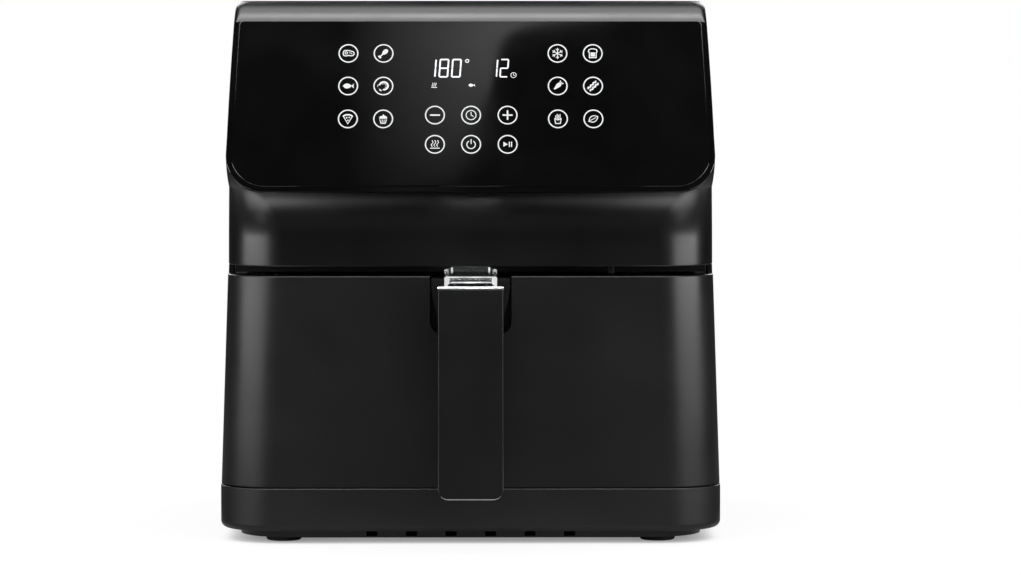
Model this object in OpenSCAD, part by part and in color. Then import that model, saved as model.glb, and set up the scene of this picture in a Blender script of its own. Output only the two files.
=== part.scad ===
// Countertop air fryer: a drafted plastic housing with a leaning touch panel over a cove, a pull-out
// drawer whose lift-out basket carries the handle, a spiral heater and a two-fan motor.
// Millimetres, +Z up. The drawer faces -Y, and the origin is under the middle of the whole.

/* [Housing] */
// Height of the whole above the surface it stands on
overall_h = 322.5; // [314:0.5:350]
// Depth of the body, from the drawer's face to the back wall
body_d = 308; // [300:1:330]
// Width of the base tray
base_w = 300; // [296:1:312]
// How far the tray stands proud of the lower body at each side
tray_reveal = 0.3; // [0.1:0.1:1.5]
// How much each side of the lower body and the drawer draws in over the drawer's height
lower_taper = 4.3; // [1:0.1:5.5]
// How far each side of the hood stands in from the drawer's top edge
hood_step = 0.5; // [0:0.1:1]
// How much each side of the hood draws in up to its top
hood_taper = 5; // [1:0.2:7]
// Radius of the upright corners, seen from above
corner_r = 34; // [28:1:38]
// Thickness of the plastic shells
wall = 3; // [2.5:0.1:3.4]

/* [Base tray] */
// Height of the skirt's lower edge above the surface
skirt_clear = 2.8; // [2:0.1:5]
// Height of the set-back skirt under the tray
skirt_h = 4.6; // [4:0.1:8]
// How far the skirt is set back from the tray's face
skirt_inset = 11; // [8:1:16]
// Height of the tray's wall
tray_h = 25.7; // [20:0.1:30]
// How far the tray stands proud of the drawer's face
tray_proud = 1.2; // [0.6:0.1:2]
// Radius of the tray's lower edge
tray_edge_r = 4; // [2:0.5:5]
// Number of air slots along the skirt's front
slot_count = 6; // [2:1:8]
// Spacing of the air slots
slot_pitch = 23.6; // [16:0.2:26]
// Width of an air slot
slot_w = 6.6; // [4:0.2:10]
// Radius of a rubber foot
foot_r = 10.6; // [8:0.2:12]
// Distance of the feet's middles from the tray's sides
foot_inset = 38; // [35:1:55]

/* [Hood and panel] */
// Black gap between the drawer and the hood
hood_gap = 5.8; // [4:0.2:8]
// Height of the hood's upright face below the cove
cove_rise = 23.2; // [20:0.2:28]
// Radius of the cove under the panel
cove_r = 24; // [22:0.5:28]
// How far the panel's lower edge reaches out in front of the drawer's face
visor_reach = 23; // [18:0.5:24]
// Lean of the touch panel, back from upright
panel_angle = 22; // [18:0.5:26]
// Thickness of the touch panel
panel_t = 4; // [3:0.1:4.5]
// Radius of the panel's lower corners
panel_corner_r = 20; // [12:1:24]
// Height of the rounded crown above the panel
crown_rise = 11.2; // [9:0.2:14]
// Radius of the crown's side edges
crown_side_r = 6; // [4:0.5:8]
// Radius of the crown's rear edge
crown_rear_r = 16; // [10:1:24]

/* [Vents and cord inlet] */
// Width of the rear outlet grille's window
outlet_w = 114; // [90:2:140]
// Height of the rear outlet grille's window
outlet_h = 70; // [62:2:90]
// How far the outlet grille's rim stands off the back wall
grille_proud = 4; // [3:0.5:6]
// Number of louvres in the outlet grille
louvre_count = 9; // [5:1:11]
// Width of the inlet grille in the hood's top
inlet_w = 140; // [100:2:180]
// Depth of the inlet grille in the hood's top
inlet_d = 40; // [30:1:46]
// Number of slots in the inlet grille
inlet_slots = 15; // [9:1:18]
// Radius of the cord's way through the gland
cord_bore_r = 3.6; // [3:0.1:4.5]

/* [Drawer] */
// Gap between the tray and the drawer
drawer_gap = 0.4; // [0.3:0.1:1]
// Height of the drawer's face
drawer_h = 125.9; // [118:0.1:132]
// Distance of the side seam behind the drawer's face
seam_setback = 41; // [39:1:48]
// Width of the side seam between the drawer and the body
seam_gap = 0.6; // [0.4:0.1:1.2]
// Thickness of the pan's and the basket's sheet
pan_t = 1.2; // [1:0.1:1.5]
// Height of the pan
pan_h = 109; // [100:1:110]
// Corner radius of the pan, seen from above
pan_corner_r = 30; // [20:1:34]
// Radius between the pan's walls and its floor
pan_edge_r = 10; // [6:0.5:11]
// Width of the pan's rim
pan_rim_w = 6; // [5:0.2:6.5]
// Gap between the pan's walls and the basket's walls
basket_gap = 7; // [6.6:0.2:9]
// Height of the basket's floor above the pan's floor
basket_floor_gap = 7.8; // [6:0.2:12]
// Height of the basket
basket_h = 96; // [85:1:97]
// Spacing of the slots in the basket's floor
basket_slot_pitch = 16; // [14:1:24]
// Width of the slots in the basket's floor
basket_slot_w = 5; // [3:0.5:7]

/* [Handle] */
// Width of the handle
handle_w = 38; // [34:0.5:40]
// Height of the handle
handle_h = 125; // [105:1:128]
// How far the handle's front stands out from the drawer's face
handle_reach = 48; // [46:0.5:52]
// Drop of the handle's top below the drawer's top edge
handle_drop = 3.6; // [3:0.1:5]
// Thickness of the handle's front cover
cover_t = 3; // [2:0.1:4]
// Thickness of the bright frame behind the cover
trim_t = 3; // [2:0.1:3.4]
// Width of the bright outline beside the cover
trim_show = 0.9; // [0.6:0.1:1.5]
// Height of the bright lip over the cover
lip_h = 2.2; // [1.6:0.1:3]
// Depth of the handle's grip, behind the bright frame
grip_t = 14; // [12:0.5:15]
// Height of the bridge between the grip and the neck
bridge_h = 26; // [25:0.5:30]
// Half width of the recess that the neck drops into
recess_half_w = 24.2; // [23:0.1:28]
// Width of the neck at its top
neck_w = 46.4; // [42:0.2:46.8]
// Width of the button guard
guard_w = 31.4; // [29:0.2:32]
// Height of the button guard's front above the handle
guard_front_h = 6.4; // [6:0.2:8]
// Height of the button guard's back above the handle
guard_h = 10; // [9:0.2:10]
// Length of the button guard
guard_l = 21; // [20:0.5:22]
// How far the button guard slides forward
guard_travel = 17; // [10:0.5:17]
// How far the release button goes down
button_travel = 3.5; // [2.5:0.1:3.5]

/* [Chamber, heater and motor] */
// Air gap between the hood's wall and the cooking chamber
chamber_gap = 6; // [5.5:0.1:7]
// Air space behind the cooking chamber
rear_gap = 43; // [36:1:50]
// Height of the cooking chamber
chamber_h = 171; // [169:0.5:176]
// Thickness of the chamber's sheet
sheet_t = 1; // [0.8:0.1:1.2]
// Radius of the heater's tube
heater_tube_r = 3.2; // [2.6:0.1:3.6]
// Radius of the heater's outer turn
heater_outer_r = 82; // [76:1:86]
// Radius of the heater's inner turn
heater_inner_r = 37; // [32:1:44]
// Number of the heater's turns
heater_turns = 3; // [2:1:4]
// Radius of the hot-air fan
hot_fan_r = 78; // [60:1:80]
// Number of blades on the hot-air fan
hot_blades = 12; // [6:1:16]
// Radius of the cooling fan
cool_fan_r = 47; // [36:1:48]
// Number of blades on the cooling fan
cool_blades = 14; // [8:1:18]
// Radius of the motor's shaft
shaft_r = 4; // [3:0.1:4.5]
// Radial clearance of the shaft in its bushes
bush_clear = 0.05; // [0.02:0.01:0.1]

/* [Hidden] */

// Steps in each rounded corner of a shell
corner_steps = 10;
$fn = 64;

// Clearances
touch_gap = 0.3;
fit_gap = 0.2;

// Levels, from the surface up
tray_z = skirt_clear + skirt_h;
tray_top_z = tray_z + tray_h;
drawer_z = tray_top_z + drawer_gap;
drawer_top_z = drawer_z + drawer_h;
hood_z = drawer_top_z + hood_gap;
chamber_z = tray_top_z + 1;
chamber_floor_z = chamber_z + sheet_t;
chamber_roof_z = chamber_z + chamber_h;

// Places from front to back; the handle's front and the grille's rim are the outermost
front_y = handle_reach - (handle_reach + body_d + grille_proud) / 2;
back_y = front_y + body_d;
seam_y = front_y + seam_setback;

// Cove and panel, in the upright plane from front to back
cove_z = hood_z + cove_rise;
seat_y = front_y - visor_reach + panel_t * cos(panel_angle);
cove_end_angle = acos(1 - (front_y - seat_y) / cove_r);
seat_z = cove_z + cove_r * sin(cove_end_angle);
panel_top_z = overall_h - crown_rise;
panel_bottom_y = front_y - visor_reach;
panel_bottom_z = seat_z + panel_t * sin(panel_angle);
panel_len = (panel_top_z - panel_bottom_z) / cos(panel_angle);
panel_top_y = panel_bottom_y + panel_len * sin(panel_angle);
crown_r = crown_rise / (1 - sin(panel_angle));
crown_y = panel_top_y + crown_r * cos(panel_angle);
crown_z = overall_h - crown_r;
// Small radius where the panel's seat meets the hood's sides
seat_edge_r = 2;

// Widths, from the bottom up
lower_bottom_w = base_w - 2 * tray_reveal;
lower_top_w = lower_bottom_w - 2 * lower_taper;
hood_bottom_w = lower_top_w - 2 * hood_step;
hood_top_w = hood_bottom_w - 2 * hood_taper;
foot_x = base_w / 2 - foot_inset;

// Chamber
chamber_half_w = hood_bottom_w / 2 - wall - chamber_gap;
chamber_front_y = seam_y;
chamber_back_y = back_y - wall - rear_gap;
chamber_in_half_w = chamber_half_w - sheet_t;
chamber_mouth_top_z = drawer_top_z + 1.6;
flange_half_w = hood_top_w / 2 + 1;
// Motor axis, from front to back
fan_y = 10;

// Pan and basket
pan_half_w = chamber_in_half_w - 8.9;
pan_front_y = front_y + 20;
pan_back_y = chamber_back_y - sheet_t - 9;
pan_z = drawer_z + 7.5;
pan_top_z = pan_z + pan_h;
pan_draft = 3;
basket_half_w = pan_half_w - pan_t - basket_gap;
basket_front_y = pan_front_y + pan_t + basket_gap;
basket_back_y = pan_back_y - pan_t - basket_gap;
basket_z = pan_z + pan_t + basket_floor_gap;
basket_top_z = basket_z + basket_h;
basket_corner_r = pan_corner_r - 5;
basket_edge_r = 8;
basket_draft = 4;

// Handle
handle_front_y = front_y - handle_reach;
handle_top_z = drawer_top_z - handle_drop;
handle_z = handle_top_z - handle_h;
grip_front_y = handle_front_y + cover_t + trim_t;
grip_back_y = grip_front_y + grip_t;
grip_top_z = handle_top_z - 1.8;
grip_half_w = handle_w / 2 - 1.2;
bridge_z = grip_top_z - bridge_h;
neck_front_y = front_y - 1;
recess_floor_y = front_y + 14;
neck_back_y = recess_floor_y - 2.5;
neck_top_z = drawer_top_z - 1.4;
neck_z = bridge_z - 1;
recess_z = neck_z - 2.4;
recess_wall = 1.6;
bracket_t = 2;
bracket_z = pan_top_z + 1;
bracket_half_w = 16;

// Button, latch and guard
guard_half_w = guard_w / 2;
guard_wall = 1.8;
guard_back_y = neck_front_y - 2;
guard_front_y = guard_back_y - guard_l;
groove_depth = 1.6;
button_half_w = 10.5;
button_front_y = guard_front_y + 5;
button_back_y = guard_back_y - 2.5;
button_top_z = grip_top_z + 4;
button_z = grip_top_z - 11;
arm_half_w = 5;
arm_t = 3;
stem_z = button_z - 3.5;
arm_z = stem_z - arm_t;
channel_z = arm_z - button_travel - 0.5;
channel_top_z = stem_z + 2.5;
spring_y = button_front_y + 5;
spring_floor_z = channel_z - 2;
spring_r = 2.6;
spring_wire_r = 0.3;

// Motor stack, from the chamber's roof up
shield_z = chamber_roof_z + 6;
shield_half_w = chamber_half_w - 5;
shield_front_y = chamber_front_y + 6;
shield_back_y = chamber_back_y - 5;
cool_fan_z = shield_z + sheet_t + 3.5;
cool_fan_h = 14;
bridge_plate_t = 1.5;
motor_bridge_z = cool_fan_z + cool_fan_h + 5;
bridge_half_w = cool_fan_r + 4;
motor_z = motor_bridge_z + bridge_plate_t;
end_plate_h = 9;
core_h = 24;
core_z = motor_z + end_plate_h;
core_half_w = 34;
rotor_r = 15.2;
rotor_gap = 0.4;
motor_top_z = core_z + core_h + end_plate_h;
shaft_top_z = motor_top_z + 3;
hot_fan_top_z = chamber_roof_z - sheet_t - 4;
hot_fan_h = 17;
hot_fan_z = hot_fan_top_z - hot_fan_h;
heater_z = hot_fan_z - 11;
nut_h = 5;
// Angle between each end of the heater's spiral and the terminals' side
heater_lead = 10;
shaft_z = hot_fan_z - nut_h - 4;

// Middle of the heater's tube: a flat spiral that starts on the outer turn at the terminals' side
heater_steps = 24 * heater_turns;
function heater_point(t) =
    let (
        a = heater_lead + (360 * heater_turns - 2 * heater_lead) * t,
        r = heater_outer_r + (heater_inner_r - heater_outer_r) * t
    )
    [r * cos(a), r * sin(a)];

// Half width of the lower body and the drawer at a height
function lower_half_w(z) = lower_bottom_w / 2
    - (lower_bottom_w - lower_top_w) / 2 * (z - drawer_z) / drawer_h;

// Half width of the hood at a height: it draws in more and more towards the top
function hood_half_w(z) = hood_bottom_w / 2
    - (hood_bottom_w - hood_top_w) / 2 * pow((z - hood_z) / (overall_h - hood_z), 2);

// Points along a quarter ellipse, starting at the given angle
function corner(cx, cy, rx, ry, start) = [
    for (i = [0 : corner_steps])
        let (a = start + 90 * i / corner_steps) [cx + rx * cos(a), cy + ry * sin(a)]
];

// Level ring of a box with elliptical corners: front corners fx by fy, rear corners br by br
function ring(half, yf, yb, fx, fy, br, z) = [
    for (p = concat(
        corner(half - fx, yf + fy, fx, fy, -90),
        corner(half - br, yb - br, br, br, 0),
        corner(-half + br, yb - br, br, br, 90),
        corner(-half + fx, yf + fy, fx, fy, 180)
    )) [p[0], p[1], z]
];

// Ring of the same box with one radius at all four corners
function even_ring(half, yf, yb, r, z) = ring(half, yf, yb, r, r, r, z);

function flat(points) = [for (p = points) [p[0], p[1]]];

// Skins a solid through rings with equal numbers of points. A looped skin closes on its first ring,
// any other gets a flat end on its first and last ring.
module skin(rings, looped = false) {
    n = len(rings[0]);
    m = len(rings);
    last = looped ? m - 1 : m - 2;
    sides = [
        for (i = [0 : last], j = [0 : n - 1])
            let (a = i * n, b = (i + 1) % m * n, k = (j + 1) % n)
            each [[a + j, b + j, b + k], [a + j, b + k, a + k]]
    ];
    ends = looped ? [] : [[for (j = [0 : n - 1]) j], [for (j = [n - 1 : -1 : 0]) (m - 1) * n + j]];
    polyhedron([for (r = rings) each r], concat(sides, ends));
}

// Upright cylinder with a hole up its middle
module tube(r, hole_r, h) {
    difference() {
        cylinder(r = r, h = h);
        translate([0, 0, -1]) cylinder(r = hole_r, h = h + 2);
    }
}

// Block from its lowest to its highest corner
module block(low, high) {
    translate(low) cube(high - low);
}

// Runs a cylinder along +Y from a point
module rod_y(x, y, z, r, l) {
    translate([x, y, z]) rotate([-90, 0, 0]) cylinder(r = r, h = l);
}

module at_corners(x, y_front, y_back) {
    for (sx = [-1, 1], y = [y_front, y_back]) translate([sx * x, y, 0]) children();
}

// ---- Base ----

function tray_ring(inset, z) = even_ring(
    base_w / 2 - inset, front_y - tray_proud + inset, back_y - inset, corner_r - inset, z);

screw_x = lower_bottom_w / 2 - wall - 5.4;
screw_front_y = seam_y + 30;
screw_back_y = back_y - corner_r - 8;
post_x = chamber_half_w - 36;
post_front_y = chamber_front_y + 30;
post_back_y = chamber_back_y - 30;
skirt_t = 2.5;
skirt_lean = 3;
foot_edge = skirt_inset + skirt_t + skirt_lean + 0.6 + foot_r;
foot_front_y = front_y - tray_proud + foot_edge;
foot_back_y = back_y - foot_edge;
screw_sink = 2.2;

module base_tray() {
    edge = [for (a = [0 : 30 : 90])
        tray_ring(tray_edge_r * (1 - sin(a)), tray_z + tray_edge_r * (1 - cos(a)))];
    skirt_in = skirt_inset + skirt_t;
    color("#1c1c1e") difference() {
        union() {
            skin(concat(edge, [
                tray_ring(0, tray_top_z),
                tray_ring(wall, tray_top_z),
                tray_ring(wall, tray_z + wall)
            ]));
            skin([
                tray_ring(skirt_inset + skirt_lean, skirt_clear),
                tray_ring(skirt_inset, tray_z + 0.5),
                tray_ring(skirt_in, tray_z + 0.5),
                tray_ring(skirt_in + skirt_lean, skirt_clear)
            ], looped = true);
            at_corners(screw_x, screw_front_y, screw_back_y)
                translate([0, 0, tray_z + 1]) cylinder(r = 4.6, h = tray_h - 1);
            at_corners(post_x, post_front_y, post_back_y)
                translate([0, 0, tray_z + 1]) cylinder(r = 6, h = chamber_z - tray_z - 1);
        }
        at_corners(screw_x, screw_front_y, screw_back_y)
            translate([0, 0, tray_z - 1]) {
                cylinder(r = 1.9, h = tray_h + 2);
                cylinder(r = 3.7, h = screw_sink + 1);
            }
        for (i = [0 : slot_count - 1])
            translate([(i - (slot_count - 1) / 2) * slot_pitch, front_y + skirt_inset, skirt_clear + 1.4])
                cube([slot_w, 20, 5], center = true);
    }
}

module rubber_feet() {
    color("#101010") at_corners(foot_x, foot_front_y, foot_back_y) {
        cylinder(r1 = foot_r - 0.8, r2 = foot_r, h = 1);
        translate([0, 0, 1]) cylinder(r = foot_r, h = tray_z - 1);
    }
}

module housing_screws() {
    color("#8b8d90") at_corners(screw_x, screw_front_y, screw_back_y) {
        translate([0, 0, tray_z + 0.2]) cylinder(r = 3.4, h = screw_sink - 0.2);
        translate([0, 0, tray_z + 1]) cylinder(r = 1.7, h = tray_h + 13);
    }
}

// ---- Body ----

function lower_ring(inset, z) = even_ring(
    lower_half_w(z) - inset, front_y + inset, back_y - inset, corner_r - inset, z);

module lower_wall(z0, z1) {
    skin([lower_ring(0, z0), lower_ring(0, z1), lower_ring(wall, z1), lower_ring(wall, z0)], looped = true);
}

gland_x = lower_bottom_w / 2 - corner_r - 16;
gland_z = tray_top_z + 30;
gland_r = cord_bore_r + 3;

module body_shell() {
    boss_h = 26;
    color("#1b1b1d") difference() {
        union() {
            difference() {
                lower_wall(tray_top_z, hood_z - fit_gap);
                block([-base_w, front_y - 10, 0], [base_w, seam_y, overall_h]);
            }
            at_corners(screw_x, screw_front_y, screw_back_y)
                translate([0, 0, tray_top_z]) cylinder(r = 4.6, h = boss_h);
            for (sx = [-1, 1], y = [screw_front_y, screw_back_y])
                translate([sx * (screw_x + 3), y, tray_top_z + boss_h / 2])
                    cube([6, 4, boss_h], center = true);
        }
        at_corners(screw_x, screw_front_y, screw_back_y)
            translate([0, 0, tray_top_z - 1]) cylinder(r = 1.75, h = boss_h - 4);
        rod_y(gland_x, back_y - wall - 5, gland_z, gland_r + 0.1, wall + 10);
    }
}

module cord_gland() {
    color("#141414") difference() {
        union() {
            rod_y(gland_x, back_y, gland_z, gland_r + 3, 2.5);
            rod_y(gland_x, back_y - wall - 4, gland_z, gland_r, wall + 5);
        }
        rod_y(gland_x, back_y - wall - 5, gland_z, cord_bore_r, wall + 10);
    }
}

// ---- Hood ----

// Y of the panel's seat at a height
function seat_at(z) = seat_y + (z - seat_z) * tan(panel_angle);

// How far the panel's rounded lower corner draws its edge in, at a distance up the slope
function corner_inset(s) = s >= panel_corner_r ? 0
    : panel_corner_r - sqrt(pow(panel_corner_r, 2) - pow(panel_corner_r - s, 2));

// Depth of the side's turn into the seat, which closes from the cove's corner to a small edge
function cheek_depth(s) = s >= panel_corner_r ? seat_edge_r
    : seat_edge_r + (seam_free_depth - seat_edge_r) * pow(1 - s / panel_corner_r, 1.5);
seam_free_depth = front_y + corner_r - seat_y;

function crown_inset(r, z) = z <= overall_h - r ? 0
    : r - sqrt(max(0, r * r - pow(z - overall_h + r, 2)));

// One ring of the hood, drawn in by the wall's thickness for its inner face
function hood_ring(z, yf, fx, fy, inset) = ring(
    hood_half_w(z) - crown_inset(crown_side_r, z + inset) - inset,
    yf,
    back_y - crown_inset(crown_rear_r, z + inset) - inset,
    max(fx - inset, 1),
    max(fy - inset, 1),
    corner_r - inset,
    z
);

module hood_outer() {
    upright = [for (z = [hood_z, cove_z]) hood_ring(z, front_y, corner_r, corner_r, 0)];
    cove = [
        for (i = [1 : 6])
            let (t = i / 6, a = t * cove_end_angle, y = front_y - cove_r * (1 - cos(a)))
            hood_ring(cove_z + cove_r * sin(a), y,
                corner_r + (panel_corner_r - corner_r) * t, front_y + corner_r - y, 0)
    ];
    seat_steps = concat(
        [for (t = [0.03, 0.1, 0.2, 0.35, 0.55, 0.75, 1]) t * panel_corner_r],
        [panel_len / 2, panel_len]
    );
    seat = [
        for (s = seat_steps)
            let (z = seat_z + s * cos(panel_angle))
            hood_ring(z, seat_at(z), corner_inset(s) + seat_edge_r, cheek_depth(s), 0)
    ];
    crown = [
        for (i = [0 : 5])
            let (a = panel_angle + (90 - panel_angle) * i / 5)
            hood_ring(crown_z + crown_r * sin(a), crown_y - crown_r * cos(a), 3 + i, 3 + i, 0)
    ];
    skin(concat(upright, cove, seat, crown));
}

module hood_inner() {
    inner_cove_r = cove_r + wall;
    slope_wall = wall / cos(panel_angle);
    low = [for (z = [hood_z - 1, cove_z]) hood_ring(z, front_y + wall, corner_r, corner_r, wall)];
    cove = [
        for (a = [18 : 18 : 72])
            let (z = cove_z + inner_cove_r * sin(a), y = front_y - cove_r + inner_cove_r * cos(a))
            hood_ring(z, max(y, seat_at(z) + slope_wall),
                corner_r + (panel_corner_r - corner_r) * a / 90,
                front_y + corner_r + wall - max(y, seat_at(z) + slope_wall), wall)
    ];
    high = [
        for (s = [0.25, 0.5, 0.75, 1, 1.3])
            let (z = seat_z + wall + s * panel_corner_r * cos(panel_angle))
            hood_ring(z, seat_at(z) + slope_wall,
                corner_inset(s * panel_corner_r) + seat_edge_r + wall,
                cheek_depth(s * panel_corner_r) + wall, wall)
    ];
    top = [
        for (z = [panel_top_z - 4, overall_h - wall - 5, overall_h - wall])
            hood_ring(z, seat_at(panel_top_z - 4) + slope_wall + (z > panel_top_z ? z - panel_top_z : 0),
                8, 8, wall)
    ];
    skin(concat(low, cove, high, top));
}

// Window for the display in the panel's seat, and where the board sits behind it
window_half_w = 78;
window_s = [24, 84];
outlet_z = hood_z + 10;
inlet_y = back_y - crown_rear_r - 10 - inlet_d;
seat_frame_angle = [-panel_angle, 0, 0];

// Places its children in the panel's own frame: X across, Z up the slope, Y into the hood
module on_panel(s = 0, depth = 0) {
    translate([0, panel_bottom_y, panel_bottom_z]) rotate(seat_frame_angle) translate([0, depth, s])
        children();
}

module hood_shell() {
    color("#1d1d1f") difference() {
        hood_outer();
        hood_inner();
        on_panel() block([-window_half_w, -1, window_s[0]], [window_half_w, panel_t + wall + 12, window_s[1]]);
        block([-outlet_w / 2, back_y - wall - 5, outlet_z], [outlet_w / 2, back_y + 5, outlet_z + outlet_h]);
        block([-inlet_w / 2, inlet_y, overall_h - wall - 5], [inlet_w / 2, inlet_y + inlet_d, overall_h + 5]);
    }
}

// Outline of the panel in its own plane, with small upper and large lower corners
function panel_outline(inset, low_r, top_r) =
    let (
        low_w = hood_half_w(panel_bottom_z + panel_corner_r * cos(panel_angle)) - inset,
        top_w = hood_half_w(panel_top_z) - inset,
        top = panel_len - inset,
        right = concat(
            [for (p = corner(low_w - low_r, inset + low_r, low_r, low_r, -90)) p],
            [for (p = corner(top_w - top_r, top - top_r, top_r, top_r, 0)) p]
        )
    )
    concat(right, [for (i = [len(right) - 1 : -1 : 0]) [-right[i][0], right[i][1]]]);

module control_panel() {
    bevel = 1.2;
    color("#060607") on_panel() {
        translate([0, panel_t, 0]) rotate([90, 0, 0])
            linear_extrude(panel_t - bevel) polygon(panel_outline(0.1, panel_corner_r, 2.5));
        translate([0, bevel, 0]) rotate([90, 0, 0])
            linear_extrude(bevel) polygon(panel_outline(1.3, panel_corner_r - 1.2, 1.5));
    }
}

display_s = [56, 80];
display_half_w = [44, 38];
board_depth = panel_t + 12;

module display_module() {
    color("#e8e8ea") on_panel()
        block([-display_half_w[0], panel_t, display_s[0]], [display_half_w[1], board_depth, display_s[1]]);
}

module control_board() {
    board_t = 1.6;
    key_s = [30, 42];
    color("#1d5a35") on_panel() {
        block([-window_half_w + 2, board_depth, window_s[0] + 2],
            [window_half_w - 2, board_depth + board_t, window_s[1] - 2]);
        for (sx = [-1, 1], s = [window_s[0] + 6, window_s[1] - 6])
            translate([sx * (window_half_w - 8), panel_t, s]) rotate([-90, 0, 0])
                cylinder(r = 3, h = board_depth - panel_t + 0.5);
        for (i = [-2 : 2])
            translate([i * 14, board_depth - 3, key_s[0]]) cube([7, 4, 5]);
        block([-30, board_depth + 1, key_s[1]], [-12, board_depth + board_t + 3, key_s[1] + 18]);
        block([20, board_depth + 1, key_s[1]], [36, board_depth + board_t + 9, key_s[1] + 12]);
    }
}

lintel_t = 2;
switch_x = 84;
switch_y = seam_y - 16;

module front_lintel() {
    half = hood_half_w(hood_z + lintel_t) - wall - fit_gap;
    y0 = front_y + wall + fit_gap;
    r = corner_r - wall - fit_gap;
    outline = flat(ring(half, y0, back_y, r, r, r, 0));
    lip_half = lower_half_w(drawer_top_z) - wall - 1;
    color("#0c0c0d") {
        translate([0, 0, hood_z]) linear_extrude(lintel_t) difference() {
            intersection() {
                polygon(outline);
                translate([-base_w / 2, front_y]) square([base_w, seam_setback - touch_gap]);
            }
            translate([switch_x, switch_y]) square([6, 12], center = true);
        }
        block([-lip_half, seam_y - touch_gap - lintel_t, drawer_top_z + 2 * touch_gap],
            [lip_half, seam_y - touch_gap, hood_z + lintel_t / 2]);
    }
}

module drawer_switch() {
    plunger_r = 2;
    color("#101010")
        translate([switch_x - 6, switch_y - 10, hood_z + lintel_t]) cube([12, 20, 13]);
    color("#b03028") translate([switch_x, switch_y, drawer_top_z + touch_gap])
        cylinder(r = plunger_r, h = hood_gap - touch_gap + lintel_t);
}

module outlet_grille() {
    edge = 2.6;
    rim = 5;
    inner_w = outlet_w - 2 * touch_gap;
    inner_h = outlet_h - 2 * touch_gap;
    mid_z = outlet_z + outlet_h / 2;
    slat_pitch = (inner_h - 2 * edge) / louvre_count;
    color("#161617") {
        difference() {
            union() {
                translate([0, back_y + grille_proud / 2, mid_z])
                    cube([outlet_w + 2 * rim, grille_proud, outlet_h + 2 * rim], center = true);
                translate([0, back_y - wall / 2 - 0.5, mid_z]) cube([inner_w, wall + 3, inner_h], center = true);
            }
            translate([0, back_y, mid_z])
                cube([inner_w - 2 * edge, 40, inner_h - 2 * edge], center = true);
        }
        for (i = [0 : louvre_count - 1])
            translate([0, back_y, outlet_z + touch_gap + edge + (i + 0.5) * slat_pitch])
                rotate([35, 0, 0]) cube([inner_w - edge, 5.4, 1.5], center = true);
        for (x = [-1, 0, 1]) translate([x * outlet_w / 4, back_y, mid_z])
            cube([1.8, 4, inner_h - edge], center = true);
    }
}

module inlet_grille() {
    flange = 4;
    w = inlet_w - 2 * fit_gap;
    d = inlet_d - 2 * fit_gap;
    mid_y = inlet_y + inlet_d / 2;
    pitch = (w - 8) / inlet_slots;
    color("#161617") difference() {
        union() {
            translate([-w / 2, mid_y - d / 2, overall_h - wall - 1]) cube([w, d, wall + 0.7]);
            translate([-w / 2 - flange, mid_y - d / 2 - flange, overall_h - wall - 1.6])
                cube([w + 2 * flange, d + 2 * flange, 1.5]);
        }
        for (i = [0 : inlet_slots - 1])
            translate([(i - (inlet_slots - 1) / 2) * pitch, mid_y, overall_h - wall])
                cube([pitch - 3.4, d - 8, 20], center = true);
    }
}

// ---- Cooking chamber ----

probe_x = 62;
probe_z = heater_z + 14;
duct_half_w = 40;
duct_z = [hot_fan_z - 4, chamber_roof_z - 5];
cutout_pos = [-70, fan_y + 50];
cutout_r = 8;
terminal_y = [heater_point(0)[1], heater_point(1)[1]];
terminal_x = heater_outer_r + 9;

module cooking_chamber() {
    color("#9a9c9f") difference() {
        union() {
            block([-chamber_half_w, chamber_front_y, chamber_z], [chamber_half_w, chamber_back_y, chamber_roof_z]);
            block([-flange_half_w, chamber_front_y, chamber_z],
                [flange_half_w, chamber_front_y + sheet_t, chamber_roof_z]);
        }
        block([-chamber_in_half_w, chamber_front_y + sheet_t, chamber_floor_z],
            [chamber_in_half_w, chamber_back_y - sheet_t, chamber_roof_z - sheet_t]);
        block([-chamber_in_half_w, chamber_front_y - 5, chamber_floor_z],
            [chamber_in_half_w, chamber_front_y + 5, chamber_mouth_top_z]);
        translate([0, fan_y, chamber_roof_z - 5]) cylinder(r = shaft_r + 4, h = 10);
        block([-duct_half_w + 2, chamber_back_y - 5, duct_z[0] + 2],
            [duct_half_w - 2, chamber_back_y + 5, duct_z[1] - 2]);
        rod_y(probe_x, chamber_back_y - 5, probe_z, 2.1, 10);
        for (y = terminal_y) translate([terminal_x, fan_y + y, chamber_roof_z - 5])
            cylinder(r = heater_tube_r + 0.3, h = 10);
    }
}

rail_z = pan_top_z - pan_t - touch_gap;

module drawer_rails() {
    rail_w = 7.2;
    rail_h = 5;
    color("#aeb0b3") for (sx = [-1, 1]) {
        x = sx * (chamber_in_half_w - rail_w / 2);
        translate([x, (chamber_front_y + chamber_back_y) / 2, rail_z - sheet_t / 2])
            cube([rail_w, chamber_back_y - chamber_front_y - 6, sheet_t], center = true);
        translate([sx * (chamber_in_half_w - sheet_t / 2), (chamber_front_y + chamber_back_y) / 2,
            rail_z - rail_h / 2 - sheet_t / 2])
            cube([sheet_t, chamber_back_y - chamber_front_y - 6, rail_h], center = true);
    }
}

module heat_shield() {
    color("#b6b8ba") difference() {
        union() {
            block([-shield_half_w, shield_front_y, shield_z], [shield_half_w, shield_back_y, shield_z + sheet_t]);
            for (x = [-shield_half_w, shield_half_w - sheet_t])
                block([x, shield_front_y, chamber_roof_z], [x + sheet_t, shield_back_y, shield_z + sheet_t / 2]);
        }
        translate([0, fan_y, shield_z - 5]) cylinder(r = shaft_r + 3, h = 10);
        translate([cutout_pos[0], cutout_pos[1], shield_z - 5]) cylinder(r = cutout_r + 1.5, h = 10);
        for (y = terminal_y) translate([terminal_x, fan_y + y, shield_z - 5])
            cylinder(r = heater_tube_r + 2, h = 10);
    }
}

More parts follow.
